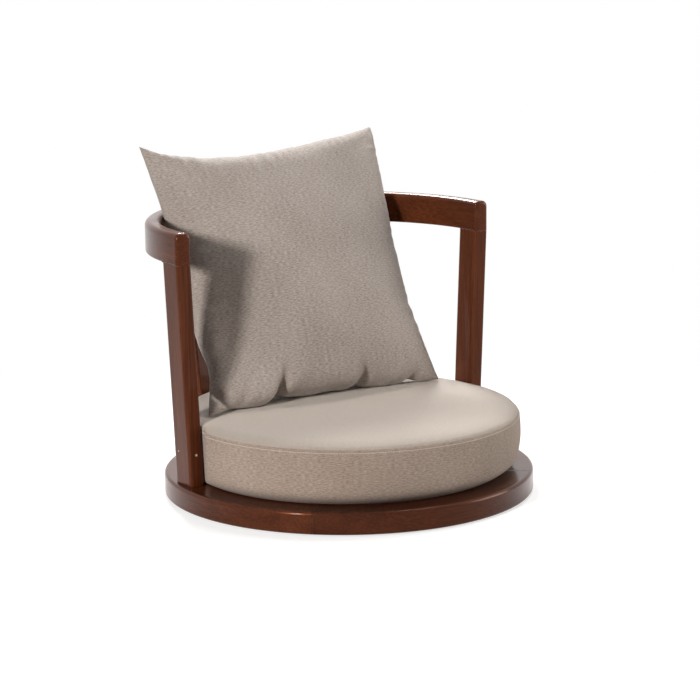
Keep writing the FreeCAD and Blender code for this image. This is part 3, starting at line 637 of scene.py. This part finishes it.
# %% Seat cushion: three panels
# Radius, and millimetres above the top
CROWN_RISE = [(0.001, 0.3), (0.08, 0.1), (0.16, -0.4), (0.21, -1.1), (0.238, -2.2), (0.252, -4.4),
              (0.2605, -7.6)]
CROWN = [(radius, TOP_HEIGHT + rise * MM) for radius, rise in CROWN_RISE]
CROWN += [(0.2638, SEAM_HEIGHT + 0.5 * MM), (0.2634, SEAM_HEIGHT)]
SIDE = [(0.2634, SEAM_HEIGHT), (0.2652, SEAM_HEIGHT - 1.6 * MM), (0.2668, 0.115), (0.2678, 0.102),
        (0.2680, 0.082), (0.2668, 0.064), (0.2640, 0.053), (0.2590, 0.0465), (0.2560, HEM_HEIGHT)]
UNDERSIDE = [(0.2560, HEM_HEIGHT), (0.2500, 0.0400), (0.2420, FOOT_HEIGHT + 0.3 * MM), (0.2300, FOOT_HEIGHT),
             (0.12, FOOT_HEIGHT), (0.001, FOOT_HEIGHT)]
seat_top = turned_panel("seat_top_panel", CROWN, 72, True, seat_cloth)
seat_band = turned_panel("seat_side_band", SIDE, 48, False, band_cloth)
seat_under = turned_panel("seat_underside", UNDERSIDE, 30, True, band_cloth)
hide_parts("seat_cover_top", "seat_foam")
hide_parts("seat_cover_band")
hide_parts("seat_cover_base")
print("seat cushion:", round(2 * SWELL_RADIUS, 3), "m across,", round(TOP_HEIGHT - FOOT_HEIGHT, 3), "m high")

# %% [markdown]
# ### Top stitching
# Just below the seam a row of thread holds the seam allowance flat. Each stitch is a short bent rod that
# dives into the cloth at both ends, so one mesh of small tubes serves for the whole row.

# %% Stitches round the band
STITCH_PITCH = 4.2 * MM
STITCH_RADIUS = 0.45 * MM
STITCH_RING = 0.2661
STITCH_DROP = 4.5 * MM
# Where each point of a stitch lies, as a share of the pitch, and how far it stands off the cloth
STITCH_SHARES = np.array([0, 0.12, 0.5, 0.66, 0.72])
STITCH_LIFTS = np.array([-0.4, 0.12, 0.22, 0.12, -0.4]) * MM
TUBE_SIDES = 6
TUBE_PINCH = 0.35


def tube(path, radius):
    """Points and quads of a tube along a path, pinched at its ends."""
    sides = TUBE_SIDES
    path = np.array(path)
    points = []
    for step, centre in enumerate(path):
        ahead = path[min(step + 1, len(path) - 1)] - path[max(step - 1, 0)]
        ahead = ahead / np.linalg.norm(ahead)
        side = np.cross(ahead, (0, 0, 1))
        side = side / np.linalg.norm(side)
        over = np.cross(side, ahead)
        thick = radius * (TUBE_PINCH if step in (0, len(path) - 1) else 1)
        turns = np.linspace(0, 2 * math.pi, sides, endpoint=False)
        points.extend(centre + thick * (math.cos(t) * side + math.sin(t) * over) for t in turns)
    faces = [[r * sides + c, r * sides + (c + 1) % sides,
              (r + 1) * sides + (c + 1) % sides, (r + 1) * sides + c]
             for r in range(len(path) - 1) for c in range(sides)]
    faces.append(list(range(sides))[::-1])
    faces.append([(len(path) - 1) * sides + c for c in range(sides)])
    return points, faces


def joined_tubes(name, paths, radius):
    points, faces = [], []
    for path in paths:
        some_points, some_faces = tube(path, radius)
        faces.extend([[len(points) + corner for corner in face] for face in some_faces])
        points.extend(some_points)
    return new_mesh(name, points, faces)


def stitch_row(radius, height):
    count = int(2 * math.pi * radius / STITCH_PITCH)
    paths = []
    for number in range(count):
        start = 2 * math.pi * number / count
        angles = start + STITCH_SHARES * 2 * math.pi / count
        points = cushion_points(angles, radius, height)
        outwards = points * (1, 1, 0)
        outwards /= np.linalg.norm(outwards, axis=1)[:, None]
        paths.append(points + outwards * STITCH_LIFTS[:, None])
    return paths


stitches = stitch_row(STITCH_RING, SEAM_HEIGHT - STITCH_DROP)
stitch_mesh = joined_tubes("seat_stitching", stitches, STITCH_RADIUS)
add_piece("seat_stitching", stitch_mesh, thread, "seat_cushion")
print("stitches:", len(stitches), "with", len(stitch_mesh.vertices), "points")

# %% [markdown]
# ## The pillow
# A square pillow is two flat panels sewn together round the edge and stuffed. Nobody cuts the curved outline:
# the stuffing draws the sides in and leaves the corners as points. So cloth does it here. Two flat square
# panels share their edge, air pressure swells them, and the folds along the seam come by themselves. The
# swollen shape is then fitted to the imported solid's outline, so that it sits where it should.

# %% Pillow: main form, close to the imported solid's
pillow_low, pillow_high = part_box("pillow_cover_back")
PILLOW_TILT = math.radians(26)
PILLOW_WIDTH = pillow_high.x - pillow_low.x
HALF_WIDTH = PILLOW_WIDTH / 2
PILLOW_HEIGHT = 443 * MM
PILLOW_FULLNESS = 74 * MM
PILLOW_SAG = 0.14
# How far the filling draws the sides in: the right one most low down, the top one most on the left
LEFT_DRAW = 18 * MM
RIGHT_DRAW = 27 * MM
RIGHT_BIAS = 1.05
TOP_DRAW = 28 * MM
TOP_BIAS = 0.65
FOOT_DRAW = 15 * MM
# How square the swell is, upwards and sideways, where lower is squarer: the front stays plump nearer the seam
FRONT_ROUNDING = (0.37, 0.47)
BACK_ROUNDING = (0.45, 0.6)
# The front is flatter at the lower left, where the post's shadow falls on it
FLAT_PLACE = (-0.74, 0.2)
FLAT_SPREAD = (0.42, 0.24)
FLAT_STRENGTH = 0.5
back_points = [v.co for v in nodes["pillow_cover_back"].data.vertices]
edge_corners = [point for point in back_points if point.x < pillow_low.x + 0.5 * MM]
pillow_foot = min(edge_corners, key=lambda corner: corner.z)
pillow_middle = Vector(((pillow_low.x + pillow_high.x) / 2, pillow_foot.y, pillow_foot.z))
pillow_place = Matrix.Translation(pillow_middle) @ Matrix.Rotation(-PILLOW_TILT, 4, "X")


def main_form(across, share, front):
    """The stuffed pillow without its folds. across runs from -1 to 1, share from 0 at the foot to 1."""
    bow = np.clip(4 * share * (1 - share), 0, 1)
    middle = np.clip(1 - across ** 2, 0, 1)
    left = LEFT_DRAW * bow - HALF_WIDTH
    right = HALF_WIDTH - RIGHT_DRAW * bow * (1 + RIGHT_BIAS * (0.5 - share))
    low = FOOT_DRAW * middle * (1 - share) ** 3
    high = TOP_DRAW * middle * (1 - TOP_BIAS * across) * share ** 3
    up_rounding, side_rounding = (np.where(front, *pair) for pair in zip(FRONT_ROUNDING, BACK_ROUNDING))
    swell = PILLOW_FULLNESS * bow ** up_rounding * (1 + PILLOW_SAG * (0.5 - share)) * middle ** side_rounding
    off = [(value - place) / wide for value, place, wide in zip((across, share), FLAT_PLACE, FLAT_SPREAD)]
    swell *= 1 - np.where(front, FLAT_STRENGTH, 0) * np.exp(-off[0] ** 2 - off[1] ** 2)
    return left + (right - left) * (across + 1) / 2, swell, PILLOW_HEIGHT * share + low - high


print("pillow foot", [round(c, 4) for c in pillow_foot], "width", round(PILLOW_WIDTH, 3))

# %% Pillow: two panels sewn at the edge
PANEL_SIDE = 478 * MM
PANEL_STEPS = 88
START_BULGE = 4 * MM


def panel_index(face, column, row, table):
    on_edge = column in (0, PANEL_STEPS) or row in (0, PANEL_STEPS)
    return table.setdefault((0 if on_edge else face, column, row), len(table))


def sewn_panels():
    """Two panels that share their edge. The front faces -Y, and the back faces +Y."""
    table = {}
    share = np.linspace(-0.5, 0.5, PANEL_STEPS + 1)
    places = {}
    faces = []
    corners = []
    for face, side in ((0, -1), (1, 1)):
        for row in range(PANEL_STEPS):
            for column in range(PANEL_STEPS):
                quad = [(column, row), (column + 1, row), (column + 1, row + 1), (column, row + 1)]
                if face == 1:
                    quad.reverse()
                faces.append([panel_index(face, c, r, table) for c, r in quad])
                corners.extend(((share[c] + face) * PANEL_SIDE, share[r] * PANEL_SIDE) for c, r in quad)
                for (c, r), spot in zip(quad, faces[-1]):
                    bulge = START_BULGE * (1 - (2 * share[c]) ** 2) * (1 - (2 * share[r]) ** 2)
                    places[spot] = (share[c] * PANEL_SIDE, side * bulge, (share[r] + 0.5) * PANEL_SIDE)
    return new_mesh("pillow_cover", [places[spot] for spot in range(len(places))], faces, corners), table


pillow_mesh, pillow_table = sewn_panels()
print("pillow panels:", len(pillow_mesh.vertices), "points")

# %% Pillow: swell it
SWELL_FRAMES = 17


def inflate(mesh, frames):
    """Runs cloth under pressure on the mesh and returns the points at the last frame."""
    dummy = add_object("swelling", mesh)
    cloth = dummy.modifiers.new("Cloth", "CLOTH")
    cloth.settings.use_pressure = True
    cloth.settings.uniform_pressure_force = 4
    cloth.settings.effector_weights.gravity = 0
    cloth.settings.bending_stiffness = 0.3
    cloth.collision_settings.use_collision = False
    cloth.point_cache.frame_start = 1
    cloth.point_cache.frame_end = frames
    for step in range(1, frames + 1):
        bpy.context.scene.frame_set(step)
    shaped = dummy.evaluated_get(bpy.context.evaluated_depsgraph_get())
    points = np.array([v.co[:] for v in shaped.data.vertices])
    bpy.data.objects.remove(dummy)
    bpy.context.scene.frame_set(1)
    return points


swollen = inflate(pillow_mesh, SWELL_FRAMES)
print("swollen:", np.ptp(swollen, axis=0).round(3))

# %% [markdown]
# The simulation knows how cloth folds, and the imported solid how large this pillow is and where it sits. So
# the swollen points are split: their slow part gives way to the main form, and only the folds are kept.

# %% Pillow: lay the folds over the main form
EDGE_DEGREE = 6
FOLD_BLUR = 5
FOLD_LIMITS = (0.7, 1.4)
FOLD_STRENGTH = 0.5


def edge_fit(side):
    """A smooth curve through the swollen seam on one side: depth as a function of the place along it."""
    run = range(PANEL_STEPS + 1)
    last = PANEL_STEPS if side in ("right", "top") else 0
    upright_side = side in ("left", "right")
    line = swollen[[pillow_table[(0, last, i) if upright_side else (0, i, last)] for i in run]]
    along, depth = (line[:, 2], line[:, 0]) if upright_side else (line[:, 0], line[:, 2])
    return np.poly1d(np.polyfit(along, depth, EDGE_DEGREE))


def blurred(table, width):
    """A table smoothed along both of its axes, with its border values carried on outwards."""
    reach = int(3 * width)
    weights = np.exp(-0.5 * (np.arange(-reach, reach + 1) / width) ** 2)
    weights /= weights.sum()
    for _ in range(2):
        padded = np.pad(table, ((reach, reach), (0, 0)), mode="edge")
        table = sum(w * padded[i:i + len(table)] for i, w in enumerate(weights)).T
    return table


def fold_factor(face):
    """How far each point of a panel stands above or below its neighbourhood, as a factor near 1."""
    run = range(1, PANEL_STEPS)
    spots = np.array([[pillow_table[(face, c, r)] for c in run] for r in run])
    share = np.linspace(-1, 1, PANEL_STEPS + 1)[1:-1]
    dome = np.sqrt(np.outer(1 - share ** 2, 1 - share ** 2))
    ratio = np.abs(swollen[spots, 1]) / dome
    factor = np.ones(len(swollen))
    folds = np.clip(ratio / blurred(ratio, FOLD_BLUR), *FOLD_LIMITS)
    factor[spots.ravel()] = folds.ravel() ** FOLD_STRENGTH
    return factor


edges = {side: edge_fit(side) for side in ("left", "right", "bottom", "top")}
wide, deep, tall = swollen.T
across = 2 * (wide - edges["left"](tall)) / (edges["right"](tall) - edges["left"](tall)) - 1
share = (tall - edges["bottom"](wide)) / (edges["top"](wide) - edges["bottom"](wide))
factors = fold_factor(0) * fold_factor(1)
front = deep < 0
form_x, form_y, form_z = main_form(across, share, front)
print("folds: factors from", factors.min().round(2), "to", factors.max().round(2))

# %% [markdown]
# ### What the sewing does
# Three kinds of irregularity are added. The seam itself wanders: it is lifted where the thread is
# tight, it draws the cover in beside an ear, and each corner has its own reach. Pleats and gathers are
# grooves and ridges that start at the seam and fade inwards. Last come short puckers along the seam, and slow
# lumps of the filling.

# %% Pillow: the seam wanders
SEAM_LIFTS = [
    # (across, half width as a share of the half pillow, lift in millimetres) along the foot
    (-0.41, 0.034, 13), (-0.31, 0.06, 3), (-0.56, 0.07, -3), (0.285, 0.036, 7), (0.08, 0.13, 1),
    (0.52, 0.10, -1), (0.735, 0.045, 6), (-0.80, 0.06, 3),
]
LIFT_REACH = 0.055
# The back hangs a little below the seam, so that no light passes under the pillow
BACK_SAG = 11 * MM
BACK_SAG_SHARE = 0.07
BACK_SAG_SPREAD = 0.06
EAR_DRAW = 12 * MM
EAR_DRAW_SHARE = 0.15
EAR_DRAW_SPREAD = 0.075
TIP_START = 0.88
TIP_DRAWS = {
    # (side, end): (outwards, up) in millimetres. The upper corners stand out, the lower right one is blunt
    (-1, 1): (1, 6), (1, 1): (0, 7), (1, -1): (-2, 2),
}
fitted = np.stack([form_x, np.sign(deep) * form_y * factors, form_z], -1)
for place, half_width, lift in SEAM_LIFTS:
    near = np.exp(-0.5 * ((across - place) / half_width) ** 2)
    fitted[:, 2] += lift * MM * near * np.exp(-(share / LIFT_REACH) ** 2)
hanging = np.exp(-((share - BACK_SAG_SHARE) / BACK_SAG_SPREAD) ** 2)
fitted[:, 2] -= np.where(deep > 0, BACK_SAG, 0) * (1 - across ** 2) * hanging
beside_ear = np.exp(-0.5 * ((share - EAR_DRAW_SHARE) / EAR_DRAW_SPREAD) ** 2)
fitted[:, 0] += EAR_DRAW * beside_ear * np.clip((1 - across) / 2, 0, 1) ** 6
tip = np.clip((np.abs(across) + np.abs(2 * share - 1)) / 2 - TIP_START, 0, None) / (1 - TIP_START)
for (side, end), (outwards, up_by) in TIP_DRAWS.items():
    here = (np.sign(across) == side) & (np.sign(2 * share - 1) == end)
    fitted[:, 0] += np.where(here, side * outwards * MM * tip ** 2, 0)
    fitted[:, 2] += np.where(here, up_by * MM * tip ** 2, 0)

# %% Pillow: the ear at the lower left folds forwards
EAR_SIZE = 40 * MM
EAR_BEND = (-9 * MM, -12 * MM, -2 * MM)
# Depth in millimetres and width of the crease behind the ear, and height and width of the puff in front of it
EAR_CREASE = (17, 5 * MM)
EAR_PUFF = (6, 12 * MM)
EAR_ROOM = 15 * MM
from_corner = (1 + across) * HALF_WIDTH + share * PILLOW_HEIGHT
bent = np.clip(1 - from_corner / (1.15 * EAR_SIZE), 0, 1) ** 1.2
fitted += bent[:, None] * np.array(EAR_BEND)
crease = EAR_CREASE[0] * np.exp(-((from_corner - EAR_SIZE) / EAR_CREASE[1]) ** 2)
puff = EAR_PUFF[0] * np.exp(-((from_corner - EAR_SIZE / 2) / EAR_PUFF[1]) ** 2)
fitted[:, 1] += np.where(front, (crease - puff) * MM * np.clip(form_y / EAR_ROOM, 0, 1), 0)

# %% Pillow: pleats and gathers
PLEATS = [
    # (across, share) at the seam, the same at the inner end, half width and depth in millimetres
    ((-0.41, 0), (-0.34, 0.19), 6, -16), ((-0.53, 0), (-0.47, 0.13), 9, 6), ((-0.32, 0), (-0.26, 0.14), 9, 4),
    ((0.285, 0), (0.27, 0.13), 5, -10), ((0.20, 0), (0.17, 0.12), 8, 3.5), ((0.37, 0), (0.36, 0.10), 8, 3),
    ((-0.99, 0.13), (-0.72, 0.20), 5, -5), ((-0.99, 0.17), (-0.66, 0.31), 7, -4),
    ((-0.74, 0), (-0.60, 0.16), 6, -5), ((-0.66, 0), (-0.56, 0.10), 5, 3), ((0.80, 0), (0.68, 0.08), 6, -4),
    ((0.95, 0.04), (0.70, 0.15), 7, -3.5), ((-0.95, 0.98), (-0.66, 0.84), 9, -4),
    ((0.95, 0.98), (0.60, 0.88), 10, -4), ((0.99, 0.90), (0.76, 0.80), 8, -3),
    ((-0.99, 0.42), (-0.80, 0.37), 8, -3), ((1, 0.55), (0.84, 0.50), 8, -2.5),
    ((1, 0.30), (0.82, 0.27), 7, -3), ((-0.55, 1), (-0.45, 0.88), 10, -3), ((0.25, 1), (0.20, 0.90), 12, -3),
    ((-1, 0.72), (-0.82, 0.70), 9, -3),
]
PLEAT_TAIL = 0.012
PLEAT_ROOM = 20 * MM
BACK_PLEAT_SHARE = 0.6


def groove(seam, inner, half_width, depth):
    """The depth of one pleat at each point, in metres."""
    place = np.stack([across * HALF_WIDTH, share * PILLOW_HEIGHT], -1)
    start = np.array([seam[0] * HALF_WIDTH, seam[1] * PILLOW_HEIGHT])
    run = np.array([inner[0] * HALF_WIDTH, inner[1] * PILLOW_HEIGHT]) - start
    length = np.linalg.norm(run)
    along = (place - start) @ run / length ** 2
    off = np.abs((place - start) @ np.array([-run[1], run[0]]) / length)
    tail = np.exp(-(along * length / PLEAT_TAIL) ** 2)
    fade = np.where(along < 0, tail, np.clip(1 - along, 0, 1) ** 1.3)
    return depth * MM * fade * np.exp(-0.5 * (off / (half_width * MM)) ** 2)


seam_room = np.clip(form_y / PLEAT_ROOM, 0, 1)
for pleat in PLEATS:
    sink = groove(*pleat) * seam_room
    fitted[:, 1] -= np.where(front, sink, -BACK_PLEAT_SHARE * sink) * (deep != 0)
print("pleats:", len(PLEATS))

# %% Pillow: puckers and lumps
PUCKER_HEIGHT = 1.5 * MM
PUCKER_REACH = 13 * MM
WANDER_REACH = 8 * MM
LUMP_HEIGHT = 2.2
LUMPS_PER_METRE = 13
from_side = (1 - np.abs(across)) * HALF_WIDTH
from_end = (0.5 - np.abs(share - 0.5)) * PILLOW_HEIGHT
by_side = from_side < from_end
run_up = share * PILLOW_HEIGHT + 0.9 * (across > 0)
run_across = across * HALF_WIDTH + 1.9 * (share > 0.5)
run = np.where(by_side, run_up, run_across) / MM
inwards = np.clip(np.where(by_side, from_side, from_end), 0, None)
pucker = np.sin(run / 3.1 + 2.2 * np.sin(run / 17)) * (0.55 + 0.45 * np.sin(run / 23 + 1.3))
rise = pucker * PUCKER_HEIGHT * inwards / PUCKER_REACH * np.exp(1 - inwards / PUCKER_REACH)
wander = (0.4 * pucker + 0.5 * np.sin(run / 11 + 0.6)) * MM * np.exp(-inwards / WANDER_REACH)
fitted[:, 1] += np.sign(deep) * rise
fitted[:, 0] += np.where(by_side, wander, 0)
fitted[:, 2] += np.where(by_side, 0, wander)
lumps = LUMP_HEIGHT * np.array([noise.noise(Vector((x * LUMPS_PER_METRE, z * LUMPS_PER_METRE, 3 * (y > 0))))
                                for x, y, z in fitted])
fitted[:, 1] += np.sign(deep) * lumps * MM * seam_room
pillow_mesh.vertices.foreach_set("co", fitted.astype(np.float32).ravel())
print("mm: puckers", (rise.max() / MM).round(1), "and lumps", np.abs(lumps).max().round(1))

# %% Pillow: place and dress
pillow_mesh.transform(pillow_place)
pillow_mesh.update()
pillow = add_piece("pillow_cover", pillow_mesh, linen, "pillow")
smoother = pillow.modifiers.new("Subdivision", "SUBSURF")
smoother.levels = smoother.render_levels = 1
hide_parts("pillow_cover_front", "pillow_cover_back", "pillow_filling")
print("pillow:", [round(c, 3) for c in pillow.dimensions])

# %% [markdown]
# ### Where the pillow presses
# A soft cushion gives way under what lies on it. Rays sent up from the cushion's top find the pillow above,
# and each point that would touch it sinks to just below. The sunken patch is then spread out a little.

# %% Press the cushion in under the pillow
RAY_START = 0.03
RAY_REACH = 0.05
SPREAD_STEPS = 14


def press_under(cushion, load, gap):
    bpy.context.view_layer.update()
    shaped = load.evaluated_get(bpy.context.evaluated_depsgraph_get())
    mesh = cushion.data
    points = np.array([v.co[:] for v in mesh.vertices])
    sink = np.zeros(len(points))
    for spot, (x, y, z) in enumerate(points):
        if z < SEAM_HEIGHT + 1 * MM:
            continue
        hit, place, _, _ = shaped.ray_cast((x, y, z - RAY_START), (0, 0, 1), distance=RAY_REACH)
        if hit:
            sink[spot] = max(0.0, z + gap - place.z)
    pairs = np.array([edge.vertices[:] for edge in mesh.edges])
    deepest = sink.copy()
    for _ in range(SPREAD_STEPS):
        total = np.zeros(len(points))
        count = np.zeros(len(points))
        for first, second in ((0, 1), (1, 0)):
            np.add.at(total, pairs[:, first], deepest[pairs[:, second]])
            np.add.at(count, pairs[:, first], 1)
        deepest = np.maximum(sink, total / count)
    points[:, 2] -= deepest
    mesh.vertices.foreach_set("co", points.astype(np.float32).ravel())
    mesh.update()
    return deepest.max()


print("cushion sinks by", round(press_under(seat_top, pillow, 0.5 * MM), 4))

# %% [markdown]
# ## The zip at the back
# The cover comes off through a zip low on the band's back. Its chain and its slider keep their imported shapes.
# The swollen band covers the chain here, and the slider stands only a little proud of the cloth.

# %% Zip finishes
zip_plastic = speckled("zip_plastic", (700.0, 3.0), (0.24, 0.2, 0.17, 1),
                       (0.36, 0.31, 0.27, 1), (0.35, 0.55), IOR=1.5)
zip_metal = speckled("zip_metal", (900.0, 4.0), (0.35, 0.33, 0.3, 1),
                     (0.6, 0.58, 0.55, 1), (0.25, 0.45), Metallic=1.0)
for name, finish in (("seat_zip", zip_plastic), ("seat_zip_slider", zip_metal)):
    nodes[name].data.materials.clear()
    nodes[name].data.materials.append(finish)
print("zip finishes set")

# %% [markdown]
# ## Floor, world and lamps
# The floor is a large pale sheet that keeps the chair's shadow. What only the camera and mirror-like surfaces
# see is whitened by the Light Path node, so the background is white without more light on the chair.

# %% Floor
FLOOR_SIZE = 12
SHADOW_FADE = (1.1, 0.45)
GLOW = 0.6
WHITE = (1, 1, 1, 1)
floor_mesh = bpy.data.meshes.new("floor")
builder = bmesh.new()
bmesh.ops.create_grid(builder, x_segments=2, y_segments=2, size=FLOOR_SIZE)
builder.to_mesh(floor_mesh)
builder.free()
floor = add_object("floor", floor_mesh)
floor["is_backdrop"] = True
floor_paint = bpy.data.materials.new("floor_paint")
tree = cleared(floor_paint)


def seen_directly(tree):
    """1 for rays from the camera and for mirrored and refracted rays, else 0."""
    path = node(tree, "LightPath")
    seen = calc(tree, "MAXIMUM", path.outputs["Is Camera Ray"], path.outputs["Is Glossy Ray"])
    return calc(tree, "MAXIMUM", seen, path.outputs["Is Transmission Ray"])


from_middle = node(tree, "VectorMath", {0: node(tree, "TexCoord").outputs["Object"]}, operation="LENGTH")
near = spread(tree, from_middle.outputs["Value"], *SHADOW_FADE)
diffuse = node(tree, "BsdfDiffuse", {"Color": (0.55, 0.55, 0.55, 1)})
seen = seen_directly(tree)
glow = node(tree, "Emission", {"Color": WHITE, "Strength": times(tree, seen, GLOW)})
white = node(tree, "Emission", {"Color": WHITE, "Strength": seen})
both = node(tree, "AddShader", {0: diffuse.outputs[0], 1: glow.outputs[0]})
far = node(tree, "MixShader", {0: near, 1: white.outputs[0], 2: both.outputs[0]})
node(tree, "OutputMaterial", {"Surface": far.outputs[0]})
floor_mesh.materials.append(floor_paint)
print("floor at z = 0")

# %% World
WORLD_LIGHT = 0.14
world = bpy.data.worlds.new("studio")
bpy.context.scene.world = world
tree = cleared(world)
strength = spread(tree, seen_directly(tree), 0.0, 1.0, WORLD_LIGHT, 1.0)
sky = node(tree, "Background", {"Color": WHITE, "Strength": strength})
node(tree, "OutputWorld", {"Surface": sky.outputs[0]})
print("world light", WORLD_LIGHT)


# %% Lamps
def lamp(name, towards, distance, size, power, aim=(0, 0, 0.25), colour=(1, 1, 1)):
    """A square area lamp. towards is (turn to the left of the front, rise above the floor) in degrees."""
    turn, rise = (math.radians(angle) for angle in towards)
    way = Vector((-math.sin(turn) * math.cos(rise), -math.cos(turn) * math.cos(rise), math.sin(rise)))
    data = bpy.data.lights.new(name, "AREA")
    data.size = size
    data.energy = power
    data.color = colour
    made = add_object(name, data)
    made.location = Vector(aim) + distance * way
    made.rotation_euler = (-way).to_track_quat("-Z", "Y").to_euler()


lamp("key_window", (66, 17), 3.2, 0.35, 84, colour=(1.0, 0.975, 0.94))
lamp("top_light", (-112, 66), 3.0, 0.7, 36)
lamp("back_window", (-158, 41), 3.2, 0.8, 104)
lamp("right_fill", (-60, 14), 3.2, 1.6, 52, colour=(1.0, 0.96, 0.9))
bpy.context.scene.view_settings.view_transform = "Standard"
print("lamps:", len(bpy.data.lights))

# %% [markdown]
# ## Measure and finish
# The imported object's box and the dressed one's are both printed.

# %% Write the sizes
visual_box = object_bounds()
for label, box in (("cad", cad_box), ("visual", visual_box)):
    print(label, [[round(c, 4) for c in corner] for corner in box])
